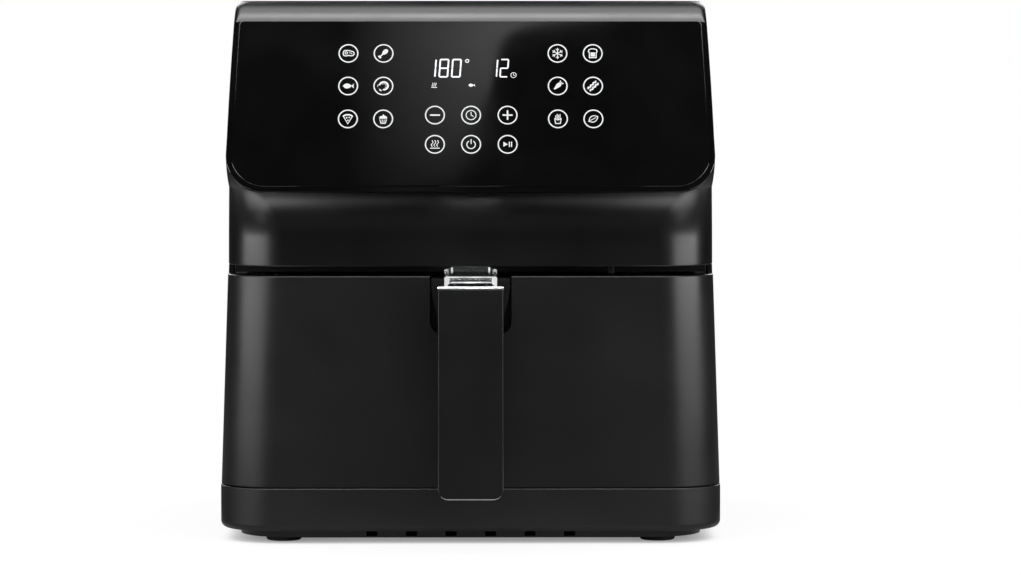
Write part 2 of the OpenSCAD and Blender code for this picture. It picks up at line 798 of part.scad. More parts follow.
module exhaust_duct() {
    end_y = back_y - wall - 3;
    color("#b6b8ba") {
        difference() {
            block([-duct_half_w, chamber_back_y, duct_z[0]], [duct_half_w, end_y, duct_z[1]]);
            block([-duct_half_w + sheet_t, chamber_back_y - 1, duct_z[0] + sheet_t],
                [duct_half_w - sheet_t, end_y + 1, duct_z[1] - sheet_t]);
        }
        for (sx = [-1, 1]) block([sx * (duct_half_w + 3) - 4, chamber_back_y, duct_z[0]],
            [sx * (duct_half_w + 3) + 4, chamber_back_y + sheet_t, duct_z[1]]);
    }
}

// ---- Heater ----

module heater_spiral() {
    sides = 8;
    rings = [
        for (i = [0 : heater_steps])
            let (
                t = i / heater_steps,
                p = heater_point(t),
                q = heater_point(t + 0.001),
                d = (q - p) / norm(q - p)
            )
            [
                for (k = [0 : sides - 1])
                    let (a = -360 * k / sides, u = heater_tube_r * cos(a), v = heater_tube_r * sin(a))
                    [p[0] + d[1] * u, p[1] - d[0] * u, v]
            ]
    ];
    skin(rings);
}

module heating_element() {
    outer = heater_point(0);
    inner = heater_point(1);
    drop = 8.5;
    leg_top_z = shield_z + 8;
    color("#8f9194") translate([0, fan_y, 0]) {
        translate([0, 0, heater_z]) {
            heater_spiral();
            translate([outer[0], outer[1], 0]) sphere(r = heater_tube_r + 0.2);
            translate([outer[0], outer[1], 0]) rotate([0, 90, 0])
                cylinder(r = heater_tube_r, h = terminal_x - outer[0]);
            translate([inner[0], inner[1], 0]) sphere(r = heater_tube_r + 0.2);
            translate([inner[0], inner[1], -drop]) cylinder(r = heater_tube_r, h = drop);
            translate([inner[0], inner[1], -drop]) sphere(r = heater_tube_r + 0.2);
            translate([inner[0], inner[1], -drop]) rotate([0, 90, 0])
                cylinder(r = heater_tube_r, h = terminal_x - inner[0]);
        }
        translate([terminal_x, outer[1], heater_z]) sphere(r = heater_tube_r + 0.2);
        translate([terminal_x, outer[1], heater_z]) cylinder(r = heater_tube_r, h = leg_top_z - heater_z);
        translate([terminal_x, inner[1], heater_z - drop]) sphere(r = heater_tube_r + 0.2);
        translate([terminal_x, inner[1], heater_z - drop])
            cylinder(r = heater_tube_r, h = leg_top_z - heater_z + drop);
    }
}

module element_clips() {
    reach = heater_outer_r + 5;
    foot_z = heater_z - heater_tube_r - sheet_t - 0.2;
    color("#a9abad") for (a = [60, 180, 300]) translate([0, fan_y, 0]) rotate([0, 0, a]) {
        translate([heater_inner_r - 6, -4, foot_z]) cube([reach - heater_inner_r + 6, 8, sheet_t]);
        translate([reach, -4, foot_z]) cube([sheet_t, 8, chamber_roof_z - sheet_t - foot_z]);
        translate([reach, -4, chamber_roof_z - 2 * sheet_t]) cube([12, 8, sheet_t]);
    }
}

module temperature_probe() {
    color("#c9c9cc") {
        rod_y(probe_x, chamber_back_y - 22, probe_z, 2, 24);
        rod_y(probe_x, chamber_back_y, probe_z, 5, 4);
    }
}

module thermal_cutout() {
    color("#d9d4c8") translate([cutout_pos[0], cutout_pos[1], chamber_roof_z]) {
        cylinder(r = cutout_r, h = 9);
        translate([0, 0, 9]) cylinder(r = cutout_r - 2.5, h = 4);
        translate([-11, -3, 0]) cube([22, 6, 0.8]);
    }
}

// ---- Motor ----

module motor_bridge() {
    half_d = 26;
    color("#a9abad") translate([0, fan_y, 0]) difference() {
        union() {
            block([-bridge_half_w, -half_d, motor_bridge_z], [bridge_half_w, half_d, motor_z]);
            for (sx = [-1, 1]) {
                translate([sx * (bridge_half_w - bridge_plate_t / 2), 0, (shield_z + sheet_t + motor_z) / 2])
                    cube([bridge_plate_t, 2 * half_d, motor_z - shield_z - sheet_t], center = true);
                translate([sx * (bridge_half_w + 4), 0, shield_z + sheet_t + bridge_plate_t / 2])
                    cube([11, 2 * half_d, bridge_plate_t], center = true);
            }
        }
        translate([0, 0, motor_bridge_z - 5]) cylinder(r = shaft_r + 5, h = 12);
    }
}

core_front_d = 26;
core_back_d = 40;
pole_gap = 20;
pole_y = [core_back_d - 17, core_back_d - 8];
coil_half_w = pole_gap - 5;
coil_over = 6;

module motor_core() {
    color("#6b6e72") translate([0, fan_y, core_z]) difference() {
        block([-core_half_w, -core_front_d, 0], [core_half_w, core_back_d, core_h]);
        translate([0, 0, -1]) cylinder(r = rotor_r + rotor_gap, h = core_h + 2);
        block([-pole_gap, pole_y[0], -1], [pole_gap, pole_y[1], core_h + 1]);
    }
}

module motor_coil() {
    color("#a4552a") translate([0, fan_y, core_z]) difference() {
        block([-coil_half_w, pole_y[0] + fit_gap, -coil_over],
            [coil_half_w, core_back_d + coil_over + 2, core_h + coil_over]);
        block([-coil_half_w - 1, pole_y[1] - fit_gap, -fit_gap],
            [coil_half_w + 1, core_back_d + fit_gap, core_h + fit_gap]);
    }
}

// End plate: two feet that stand on the lamination stack or the bridge, and a boss round the shaft
module end_plate() {
    plate_t = 2.5;
    difference() {
        union() {
            translate([-core_half_w, -10, end_plate_h - plate_t]) cube([2 * core_half_w, 20, plate_t]);
            for (sx = [-1, 1]) translate([sx * (core_half_w - 5) - 5, -10, 0]) cube([10, 20, end_plate_h - 1]);
            translate([0, 0, 1]) cylinder(r = shaft_r + 5, h = end_plate_h - 1);
        }
        translate([0, 0, -1]) cylinder(r = shaft_r + bush_clear, h = end_plate_h + 2);
    }
}

module bearing_plates() {
    color("#c2c4c6") translate([0, fan_y, 0]) {
        translate([0, 0, motor_z + end_plate_h]) mirror([0, 0, 1]) end_plate();
        translate([0, 0, core_z + core_h]) end_plate();
    }
}

module motor_shaft() {
    color("#d5d6d8") translate([0, fan_y, shaft_z]) cylinder(r = shaft_r, h = shaft_top_z - shaft_z);
}

module motor_rotor() {
    color("#7d8084") translate([0, fan_y, core_z + 0.5]) tube(rotor_r, shaft_r, core_h - 1);
}

// One blade, curved in plan: a slice of a thin cylinder's wall
module blade(r_in, r_out, bend_r, t, h) {
    chord = r_out - r_in;
    linear_extrude(h) intersection() {
        translate([(r_in + r_out) / 2, sqrt(bend_r * bend_r - chord * chord / 4)]) difference() {
            circle(r = bend_r + t / 2);
            circle(r = bend_r - t / 2);
        }
        translate([r_in, -bend_r / 2]) square([chord, bend_r * 0.9]);
    }
}

module hot_air_fan() {
    plate_t = 1;
    hub_r = shaft_r + 5;
    color("#b4b6b9") translate([0, fan_y, hot_fan_z]) difference() {
        union() {
            translate([0, 0, hot_fan_h - plate_t]) cylinder(r = hot_fan_r, h = plate_t);
            cylinder(r = hub_r, h = hot_fan_h - plate_t / 2);
            for (i = [0 : hot_blades - 1]) rotate([0, 0, 360 * i / hot_blades]) {
                translate([0, 0, 1]) blade(hot_fan_r * 0.42, hot_fan_r - 2, hot_fan_r * 0.6, plate_t,
                    hot_fan_h - plate_t - 0.5);
            }
        }
        translate([0, 0, -1]) cylinder(r = shaft_r, h = hot_fan_h + 2);
    }
}

module fan_nut() {
    color("#c8a95a") translate([0, fan_y, hot_fan_z - nut_h]) difference() {
        cylinder(r = shaft_r + 3, h = nut_h, $fn = 6);
        translate([0, 0, -1]) cylinder(r = shaft_r, h = nut_h + 2);
    }
}

module cooling_fan() {
    plate_t = 1.4;
    hub_r = shaft_r + 6;
    color("#2a2b2d") translate([0, fan_y, cool_fan_z]) difference() {
        union() {
            cylinder(r = cool_fan_r, h = plate_t);
            cylinder(r = hub_r, h = cool_fan_h);
            for (i = [0 : cool_blades - 1]) rotate([0, 0, 360 * i / cool_blades])
                translate([0, 0, plate_t - 0.4]) blade(cool_fan_r * 0.5, cool_fan_r - 1, cool_fan_r * 0.5, plate_t,
                    cool_fan_h - plate_t);
        }
        translate([0, 0, -1]) cylinder(r = shaft_r, h = cool_fan_h + 2);
    }
}

module power_board() {
    w = 56;
    d = 84;
    x0 = shield_half_w - w - 10;
    y0 = fan_y + 20;
    post_h = 9;
    post_in = 5;
    post_r = 3;
    board_z = shield_z + sheet_t + post_h;
    board_t = 1.6;
    part_z = board_z + board_t - 0.5;
    transformer = [24, 28, 22];
    relay = [16, 20, 16];
    filter_coil = [12, 22, 14];
    capacitor_r = 6;
    capacitor_h = 20;
    color("#1d5a35") translate([x0, y0, 0]) {
        translate([0, 0, board_z]) cube([w, d, board_t]);
        for (x = [post_in, w - post_in], y = [post_in, d - post_in])
            translate([x, y, shield_z + sheet_t]) cylinder(r = post_r, h = post_h + 0.5);
        translate([6, 8, part_z]) cube(transformer);
        translate([w - relay[0] - 6, 12, part_z]) cube(relay);
        translate([14, d - 28, part_z]) cylinder(r = capacitor_r, h = capacitor_h);
        translate([w - filter_coil[0] - 8, d - filter_coil[1] - 10, part_z]) cube(filter_coil);
    }
}

// ---- Drawer ----

drawer_back_y = seam_y - seam_gap;
deck_t = 2.4;
pan_screw_x = 70;
pan_screw_z = [pan_z + 34, pan_z + 84];

// Plan of the drawer's inside at a height, let into its wall by a third
function drawer_plan(z) = flat(lower_ring(wall * 2 / 3, z));

module drawer_plate(z, t) {
    translate([0, 0, z]) linear_extrude(t) intersection() {
        polygon(drawer_plan(z + t));
        translate([-base_w / 2, front_y]) square([base_w, drawer_back_y - front_y]);
    }
}

module drawer_front() {
    pocket_out = recess_half_w + recess_wall;
    rim_half = pan_half_w + pan_rim_w + 0.6;
    color("#1e1e20") difference() {
        union() {
            intersection() {
                lower_wall(drawer_z, drawer_top_z);
                block([-base_w, front_y - 10, 0], [base_w, drawer_back_y, overall_h]);
            }
            drawer_plate(drawer_z, deck_t);
            difference() {
                drawer_plate(drawer_top_z - deck_t, deck_t);
                block([-rim_half, pan_front_y - pan_rim_w - 0.6, 0], [rim_half, 0, overall_h]);
            }
            block([-pocket_out, front_y + 1, recess_z - recess_wall],
                [pocket_out, recess_floor_y + recess_wall, pan_top_z - pan_t - 0.6]);
            block([-pocket_out, front_y + 1, recess_z + 10],
                [pocket_out, pan_front_y - pan_rim_w - 0.6, drawer_top_z - 0.5]);
            for (x = [-pan_screw_x, pan_screw_x], z = pan_screw_z)
                rod_y(x, front_y + 1, z, 5, pan_front_y - front_y - 1 - fit_gap);
        }
        recess_cut();
        block([-arm_half_w - 1.2, recess_floor_y - 2, channel_z - 0.5],
            [arm_half_w + 1.2, recess_floor_y + 8, channel_top_z]);
        for (x = [-pan_screw_x, pan_screw_x], z = pan_screw_z)
            rod_y(x, front_y + wall + 2, z, 1.7, 30);
    }
}

// The recess's face: straight sides that turn in to a narrower rounded foot
function recess_outline(half, z0, z1, cut) = [
    [-half, z1], [-half, z0 + cut], [-half + cut * 0.3, z0 + cut * 0.36], [-half + cut, z0],
    [half - cut, z0], [half - cut * 0.3, z0 + cut * 0.36], [half, z0 + cut], [half, z1]
];

module recess_cut() {
    translate([0, recess_floor_y, 0]) rotate([90, 0, 0]) linear_extrude(40)
        polygon(recess_outline(recess_half_w, recess_z, overall_h, 8));
    block([-recess_half_w, front_y - 10, pan_top_z - pan_t - 0.6], [recess_half_w, pan_front_y + 5, overall_h]);
}

module drawer_frame() {
    frame_t = 2.4;
    z0 = drawer_z + deck_t + touch_gap;
    z1 = drawer_top_z - deck_t - touch_gap;
    gap = wall + touch_gap;
    hole_half = pan_half_w + 0.6;
    rim_half = pan_half_w + pan_rim_w + 0.6;
    rim_z = pan_top_z - pan_t - 0.4;
    color("#19191a") translate([0, drawer_back_y - 0.4, 0]) rotate([90, 0, 0]) linear_extrude(frame_t)
        polygon([
            [-lower_half_w(z0) + gap, z0], [lower_half_w(z0) - gap, z0],
            [lower_half_w(z1) - gap, z1], [rim_half, z1], [rim_half, rim_z], [hole_half, rim_z],
            [hole_half, pan_z + 4], [hole_half - 4.4, pan_z - 0.4], [-hole_half + 4.4, pan_z - 0.4],
            [-hole_half, pan_z + 4], [-hole_half, rim_z], [-rim_half, rim_z], [-rim_half, z1],
            [-lower_half_w(z1) + gap, z1]
        ]);
}

// Ring of a drafted tub: the front wall stays upright, the other three lean in towards the floor
function tub_ring(half, yf, yb, r, lean, grow, z) =
    even_ring(half - lean + grow, yf - grow, yb - lean + grow, r + grow, z);

// Rings up the outside of a tub and down its inside, with a rounded edge round the floor
function tub_rings(half, yf, yb, r, z0, z1, lean, t, edge_r, rim_w, rim_t) =
    let (
        out_edge = [for (a = [0 : 30 : 90])
            tub_ring(half, yf, yb, r, lean, -edge_r * (1 - sin(a)), z0 + edge_r * (1 - cos(a)))],
        in_edge = [for (a = [90 : -30 : 0])
            tub_ring(half, yf, yb, r, lean, -t - (edge_r - t) * (1 - sin(a)), z0 + t + (edge_r - t) * (1 - cos(a)))]
    )
    concat(out_edge, [
        tub_ring(half, yf, yb, r, 0, 0, z1 - rim_t),
        tub_ring(half, yf, yb, r, 0, rim_w, z1 - rim_t),
        tub_ring(half, yf, yb, r, 0, rim_w, z1),
        tub_ring(half, yf, yb, r, 0, -t, z1)
    ], in_edge);

module outer_basket() {
    color("#3a3b3d") difference() {
        skin(tub_rings(pan_half_w, pan_front_y, pan_back_y, pan_corner_r, pan_z, pan_top_z, pan_draft,
            pan_t, pan_edge_r, pan_rim_w, pan_t));
        for (x = [-pan_screw_x, pan_screw_x], z = pan_screw_z)
            rod_y(x, pan_front_y - 5, z, 2, 12);
    }
}

module drawer_screws() {
    head_r = 4;
    head_h = 2.2;
    shank_r = 1.6;
    shank_l = 12;
    color("#8b8d90") for (x = [-pan_screw_x, pan_screw_x], z = pan_screw_z) {
        rod_y(x, pan_front_y + pan_t, z, head_r, head_h);
        rod_y(x, pan_front_y - shank_l, z, shank_r, shank_l + pan_t + 0.5);
    }
}

rivet_x = 10;
rivet_z = basket_top_z - 16;

module inner_basket() {
    floor_half = basket_half_w - basket_draft - basket_edge_r;
    floor_front = basket_front_y + basket_edge_r;
    floor_back = basket_back_y - basket_draft - basket_edge_r;
    nx = floor((2 * floor_half - 12) / basket_slot_pitch / 2);
    rows = 5;
    row_d = (floor_back - floor_front - 8) / rows;
    side_z = basket_z + basket_edge_r + 6;
    color("#414245") difference() {
        skin(tub_rings(basket_half_w, basket_front_y, basket_back_y, basket_corner_r, basket_z, basket_top_z,
            basket_draft, pan_t, basket_edge_r, 2, pan_t));
        for (i = [-nx : nx], j = [0 : rows - 1]) {
            shift = abs(i) % 2 * row_d / 4 - row_d / 8;
            translate([i * basket_slot_pitch, floor_front + 4 + (j + 0.5) * row_d + shift, basket_z - 1])
                linear_extrude(pan_t + 2) {
                    square([basket_slot_w, row_d * 0.55], center = true);
                    for (sy = [-1, 1]) translate([0, sy * row_d * 0.275]) circle(r = basket_slot_w / 2);
                }
        }
        for (i = [-4 : 4]) {
            translate([0, i * basket_slot_pitch + fan_y, side_z])
                cube([2 * basket_half_w + 20, basket_slot_w, 12], center = true);
            translate([i * basket_slot_pitch, basket_back_y, side_z]) cube([basket_slot_w, 20, 12], center = true);
        }
        block([-bracket_half_w - 0.8, basket_front_y - 10, basket_top_z - pan_t - 1],
            [bracket_half_w + 0.8, basket_front_y - 0.01, basket_top_z + 5]);
        for (x = [-rivet_x, rivet_x]) rod_y(x, basket_front_y - 5, rivet_z, 2.2, 10);
    }
}

module basket_bumpers() {
    x = basket_half_w - basket_draft - basket_edge_r - 16;
    color("#2b2b2c") at_corners(x, basket_front_y + 26, basket_back_y - 26)
        translate([0, 0, pan_z + pan_t]) cylinder(r = 6, h = basket_floor_gap);
}

module basket_bracket() {
    leg_y = basket_front_y - fit_gap - bracket_t;
    color("#a9abad") difference() {
        union() {
            block([-bracket_half_w, neck_front_y + 3, bracket_z],
                [bracket_half_w, leg_y + bracket_t, bracket_z + bracket_t]);
            block([-bracket_half_w, leg_y, basket_top_z - 30], [bracket_half_w, leg_y + bracket_t, bracket_z + 1]);
        }
        for (x = [-rivet_x, rivet_x]) rod_y(x, leg_y - 5, rivet_z, 2.2, 10);
    }
}

module basket_rivets() {
    leg_y = basket_front_y - fit_gap - bracket_t;
    color("#c2c4c6") for (x = [-rivet_x, rivet_x]) {
        rod_y(x, leg_y - 1.2, rivet_z, 4, 1.2);
        rod_y(x, leg_y - 0.5, rivet_z, 2.15, bracket_t + fit_gap + pan_t + 1);
        rod_y(x, basket_front_y + pan_t, rivet_z, 4, 1.2);
    }
}

// ---- Handle ----

module handle_neck() {
    low_half = handle_w / 2 - 1;
    r = 6;
    taper_z = neck_top_z - 2;
    side = concat(
        [[neck_w / 2, neck_top_z]],
        [
            for (i = [0 : 8])
                let (t = i / 8)
                [neck_w / 2 - (neck_w / 2 - low_half) * pow(t, 2.2), taper_z - (taper_z - neck_z - r) * t]
        ],
        [for (a = [-30 : -30 : -90]) [low_half - r + r * cos(a), neck_z + r + r * sin(a)]]
    );
    outline = concat(side, [for (i = [len(side) - 1 : -1 : 0]) [-side[i][0], side[i][1]]]);
    color("#18181a") difference() {
        translate([0, neck_back_y, 0]) rotate([90, 0, 0]) linear_extrude(neck_back_y - neck_front_y)
            polygon(outline);
        block([-arm_half_w - 1, neck_front_y - 1, channel_z], [arm_half_w + 1, neck_back_y + 1, channel_top_z]);
        block([-bracket_half_w - fit_gap, neck_front_y + 2.8, bracket_z - 0.1],
            [bracket_half_w + fit_gap, neck_back_y + 1, bracket_z + bracket_t + 0.1]);
    }
}

// Side view of the grip and bridge: the grip's foot is rounded, and a fillet fills the inner corner
module handle_grip() {
    foot_z = handle_z + 0.8;
    foot_r2 = 5;
    inner_r = 12;
    profile = concat(
        [[grip_front_y, grip_top_z], [grip_front_y, foot_z]],
        [for (p = corner(grip_back_y - foot_r2, foot_z + foot_r2, foot_r2, foot_r2, -90)) p],
        [for (i = [0 : 6]) let (a = 180 - 90 * i / 6)
            [grip_back_y + inner_r + inner_r * cos(a), bridge_z - inner_r + inner_r * sin(a)]],
        [[neck_front_y, bridge_z], [neck_front_y, grip_top_z]]
    );
    color("#1a1a1c") difference() {
        translate([-grip_half_w, 0, 0]) rotate([90, 0, 90]) linear_extrude(2 * grip_half_w) polygon(profile);
        block([-button_half_w - 0.5, button_front_y - 0.5, stem_z - 1],
            [button_half_w + 0.5, button_back_y + 0.5, grip_top_z + 1]);
        block([-arm_half_w - 1, button_front_y - 0.5, channel_z], [arm_half_w + 1, neck_front_y + 1, channel_top_z]);
        translate([0, spring_y, spring_floor_z]) cylinder(r = spring_r + 1.4, h = 4);
        for (x = [-guard_half_w - touch_gap, guard_half_w - guard_wall - touch_gap])
            block([x, guard_front_y - guard_travel - touch_gap, grip_top_z - groove_depth],
                [x + guard_wall + 2 * touch_gap, neck_front_y + 1, grip_top_z + 1]);
    }
}

// Plate shape of the handle's face, with rounded lower corners
module face_plate(half, z0, z1, r, t) {
    rotate([90, 0, 0]) linear_extrude(t) polygon(concat(
        [[-half, z1]],
        [for (p = corner(-half + r, z0 + r, r, r, 180)) p],
        [for (p = corner(half - r, z0 + r, r, r, 270)) p],
        [[half, z1]]
    ));
}

module handle_trim() {
    plate_front_y = handle_front_y + cover_t;
    color("#d8d9db") {
        translate([0, grip_front_y, 0]) face_plate(handle_w / 2, handle_z, grip_top_z, 6, trim_t);
        block([-handle_w / 2 - 0.6, handle_front_y, handle_top_z - lip_h],
            [handle_w / 2 + 0.6, plate_front_y + trim_t - 1, handle_top_z]);
    }
}

module handle_cover() {
    color("#1f1f21") translate([0, handle_front_y + cover_t, 0])
        face_plate(handle_w / 2 - trim_show, handle_z + trim_show, handle_top_z - lip_h, 6 - trim_show, cover_t);
}

// Side view of the guard's top: it rises towards the back, to a ridge for the thumb
function guard_profile(inset, z0, back) = [
    [guard_front_y + inset, z0], [guard_front_y + inset, grip_top_z + guard_front_h - inset],
    [guard_back_y + back, grip_top_z + guard_h - inset], [guard_back_y + back, z0]
];

module along_x(half) {
    translate([-half, 0, 0]) rotate([90, 0, 90]) linear_extrude(2 * half) children();
}

module button_guard() {
    z0 = grip_top_z - groove_depth + touch_gap;
    ridge_h = 1.2;
    ridge_half = guard_half_w - 4;
    arch = guard_half_w - 1;
    arch_rise = 2.6;
    color("#dfe6ea", 0.5) difference() {
        union() {
            along_x(guard_half_w) polygon(guard_profile(0, z0, 0));
            block([-ridge_half, guard_back_y - 4, grip_top_z + guard_front_h],
                [ridge_half, guard_back_y, grip_top_z + guard_h + ridge_h]);
        }
        along_x(guard_half_w - guard_wall) polygon(guard_profile(guard_wall, z0 - 1, 1));
        block([-guard_half_w - 1, guard_front_y - 1, z0 - 1],
            [guard_half_w + 1, guard_front_y + guard_wall + 0.2, grip_top_z + touch_gap]);
        translate([0, guard_front_y + guard_wall + 0.2, 0]) rotate([90, 0, 0]) linear_extrude(guard_wall + 1)
            polygon([
                [-arch, grip_top_z], [-arch + arch_rise, grip_top_z + arch_rise],
                [arch - arch_rise, grip_top_z + arch_rise], [arch, grip_top_z]
            ]);
    }
}

module release_button() {
    stem_half = 4;
    color("#2c2d2f") {
        block([-button_half_w, button_front_y, button_z], [button_half_w, button_back_y, button_top_z]);
        block([-stem_half, spring_y - stem_half, stem_z], [stem_half, spring_y + stem_half, button_z + 1]);
    }
}

module release_latch() {
    tooth_y = recess_floor_y + recess_wall + touch_gap + 0.2;
    tooth_t = 2.2;
    color("#b9bbbe") {
        block([-arm_half_w, button_front_y, arm_z], [arm_half_w, tooth_y + tooth_t, stem_z]);
        block([-arm_half_w, tooth_y, arm_z], [arm_half_w, tooth_y + tooth_t, channel_top_z + button_travel - 0.1]);
    }
}

// Coil spring under the latch's arm
module latch_spring() {
    turns = 3.5;
    steps = 36;
    sides = 6;
    low = spring_floor_z + spring_wire_r + 0.1;
    high = arm_z - spring_wire_r - 0.1;
    rings = [
        for (i = [0 : steps])
            let (a = 360 * turns * i / steps, z = low + (high - low) * i / steps)
            [
                for (k = [0 : sides - 1])
                    let (b = 360 * k / sides, r = spring_r + spring_wire_r * cos(b))
                    [r * cos(a), r * sin(a), z + spring_wire_r * sin(b)]
            ]
    ];
    color("#c9cacc") translate([0, spring_y, 0]) skin(rings);
}

base_tray();
rubber_feet();
housing_screws();
body_shell();
hood_shell();
control_panel();
display_module();
control_board();
front_lintel();
drawer_switch();
outlet_grille();
inlet_grille();
cord_gland();
cooking_chamber();
drawer_rails();
heat_shield();
exhaust_duct();
heating_element();
element_clips();
temperature_probe();
thermal_cutout();
motor_bridge();
motor_core();
motor_coil();
bearing_plates();
power_board();
motor_shaft();
motor_rotor();
hot_air_fan();
fan_nut();
cooling_fan();
drawer_front();
drawer_frame();
outer_basket();
drawer_screws();
inner_basket();
basket_bumpers();
basket_bracket();
basket_rivets();
handle_neck();
handle_grip();
handle_cover();
handle_trim();
button_guard();
release_button();
release_latch();
latch_spring();
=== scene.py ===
"""Looks of the air fryer, in metres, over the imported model's own bodies."""

from math import atan2, cos, degrees, pi, radians, sin, sqrt, tan, tau

import bmesh
import bpy
from mathutils import Matrix, Vector


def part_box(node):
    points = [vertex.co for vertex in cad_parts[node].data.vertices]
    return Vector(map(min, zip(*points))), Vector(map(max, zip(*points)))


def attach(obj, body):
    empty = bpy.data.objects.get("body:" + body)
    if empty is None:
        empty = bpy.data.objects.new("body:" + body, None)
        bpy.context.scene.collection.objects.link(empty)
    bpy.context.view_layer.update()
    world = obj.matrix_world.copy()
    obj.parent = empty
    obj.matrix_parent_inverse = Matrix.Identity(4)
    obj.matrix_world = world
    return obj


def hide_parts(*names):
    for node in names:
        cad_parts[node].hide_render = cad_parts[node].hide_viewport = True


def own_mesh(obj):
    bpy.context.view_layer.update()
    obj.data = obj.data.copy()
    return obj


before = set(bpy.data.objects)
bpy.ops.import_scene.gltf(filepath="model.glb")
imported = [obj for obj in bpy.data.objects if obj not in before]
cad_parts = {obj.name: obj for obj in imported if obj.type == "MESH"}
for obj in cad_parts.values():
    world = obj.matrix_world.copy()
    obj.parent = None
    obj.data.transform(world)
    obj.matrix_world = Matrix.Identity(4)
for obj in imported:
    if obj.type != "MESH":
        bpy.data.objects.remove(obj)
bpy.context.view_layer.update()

# ---- Sizes, in millimetres, as the solids have them ----

MM = 0.001
OVERALL_H = 322.5
FRONT_Y, BACK_Y = -132, 176
SEAM_Y = -91
CORNER_R = 34
WALL = 3
CORNER_STEPS = 20

BASE_W, TRAY_PROUD, TRAY_EDGE_R = 300, 1.2, 4
TRAY_Z, TRAY_TOP_Z = 7.4, 33.1
SKIRT_CLEAR, SKIRT_INSET, SKIRT_T, SKIRT_LEAN, SKIRT_CORNER_R = 2.8, 11, 2.5, 0.6, 44
SLOT_COUNT, SLOT_PITCH, SLOT_W = 6, 23.6, 6.6

LOWER_BOTTOM_W, LOWER_TOP_W = 299.4, 290.8
DRAWER_Z, DRAWER_H = 33.5, 125.9
DRAWER_TOP_Z = DRAWER_Z + DRAWER_H
HOOD_Z, COVE_Z, COVE_R, COVE_END, COVE_EASE = 165.2, 188.4, 24, 78.69, 1.4
HOOD_BOTTOM_W, HOOD_TOP_W = 289.8, 279.8
PANEL_ANGLE, PANEL_T, PANEL_CORNER_R, PANEL_LIP = radians(22), 4, 20, 3
PANEL_Y, PANEL_Z, PANEL_LEN = -155, 213.432, 105.554
PANEL_TOP_Z = 311.3
PANEL_SIN, PANEL_COS = sin(PANEL_ANGLE), cos(PANEL_ANGLE)
SEAT_Y, SEAT_Z, SEAT_EDGE_R = -151.291, 211.934, 2
CROWN_SIDE_R, CROWN_REAR_R = 4.5, 16
CROWN_R = 17.909
CROWN_Z = OVERALL_H - CROWN_R
EDGE_R = 0.7
OUTLET_HALF, OUTLET_Z, OUTLET_TOP_Z = 57, 175.2, 245.2
INLET_HALF, INLET_Y, INLET_BACK_Y = 70, 110, 150
GLAND_X, GLAND_Z, GLAND_R = 99.7, 63.1, 6.7

# ---- Mesh helpers ----


def set_all(thing, **settings):
    for key, value in settings.items():
        setattr(thing, key, value)
    return thing


def new_object(name, data):
    made = bpy.data.objects.new(name, data)
    bpy.context.collection.objects.link(made)
    return made


def new_piece(name, points, faces):
    """An object from points in millimetres and faces."""
    mesh = bpy.data.meshes.new(name)
    mesh.from_pydata([Vector(p) * MM for p in points], [], faces)
    work = bmesh.new()
    work.from_mesh(mesh)
    bmesh.ops.remove_doubles(work, verts=work.verts, dist=1e-7)
    bmesh.ops.recalc_face_normals(work, faces=work.faces)
    work.to_mesh(mesh)
    work.free()
    return new_object(name, mesh)


def loft(name, rings, looped=False):
    """A skin through rings of equal length, closed on itself or with flat ends."""
    n, m = len(rings[0]), len(rings)
    faces = []
    for i in range(m if looped else m - 1):
        a, b = i * n, (i + 1) % m * n
        faces += [(a + j, a + (j + 1) % n, b + (j + 1) % n, b + j) for j in range(n)]
    if not looped:
        faces += [tuple(reversed(range(n))), tuple(range((m - 1) * n, m * n))]
    return new_piece(name, [p for r in rings for p in r], faces)


def block(name, low, high):
    """A box between two corners, for cutting with."""
    corners = [(x, y, z) for z in (low[2], high[2]) for x, y in
               ((low[0], low[1]), (high[0], low[1]), (high[0], high[1]), (low[0], high[1]))]
    return loft(name, [corners[:4], corners[4:]])


def prism(name, outline, y0, y1):
    """An outline in X and Z, run along Y."""
    return loft(name, [[(x, y0, z) for x, z in outline], [(x, y1, z) for x, z in outline]])


def bake(piece):
    """Applies a piece's modifiers to its mesh."""
    depsgraph = bpy.context.evaluated_depsgraph_get()
    old = piece.data
    mesh = bpy.data.meshes.new_from_object(piece.evaluated_get(depsgraph))
    piece.modifiers.clear()
    piece.data = mesh
    bpy.data.meshes.remove(old)


def combine(piece, others, operation):
    """Cuts other pieces from a piece, or adds them to it, and removes them."""
    for other in others:
        set_all(piece.modifiers.new("shape", "BOOLEAN"), operation=operation, solver="EXACT", object=other)
    bake(piece)
    for other in others:
        bpy.data.objects.remove(other)


def cut(piece, *others):
    combine(piece, others, "DIFFERENCE")


def join(piece, *others):
    combine(piece, others, "UNION")


def bevel(piece, width, angle, **settings):
    set_all(piece.modifiers.new("edges", "BEVEL"), width=width * MM, limit_method="ANGLE",
            angle_limit=radians(angle), **settings)


def weigh_normals(piece, keep_sharp=True):
    set_all(piece.modifiers.new("normals", "WEIGHTED_NORMAL"), keep_sharp=keep_sharp, weight=50)


def smooth(piece, angle=32, weigh=True):
    """Smooth shading that keeps edges sharper than the angle."""
    piece.data.shade_smooth()
    piece.data.set_sharp_from_angle(angle=radians(angle))
    if weigh:
        weigh_normals(piece)
    return piece


def soften(piece, width, angle=35, segments=2):
    """Rounds the sharp edges of a piece."""
    bevel(piece, width, angle, segments=segments, miter_outer="MITER_ARC", use_clamp_overlap=True)
    piece.data.shade_smooth()
    weigh_normals(piece)
    return piece


def polar(way, r=1, x=0, y=0):
    """The point at a direction in degrees and a distance from x, y."""
    return (x + r * cos(radians(way)), y + r * sin(radians(way)))


def arc(cx, cy, rx, ry, start, turn=90, steps=CORNER_STEPS):
    """Points along part of an ellipse."""
    angles = [radians(start + turn * i / steps) for i in range(steps + 1)]
    return [(cx + rx * cos(a), cy + ry * sin(a)) for a in angles]


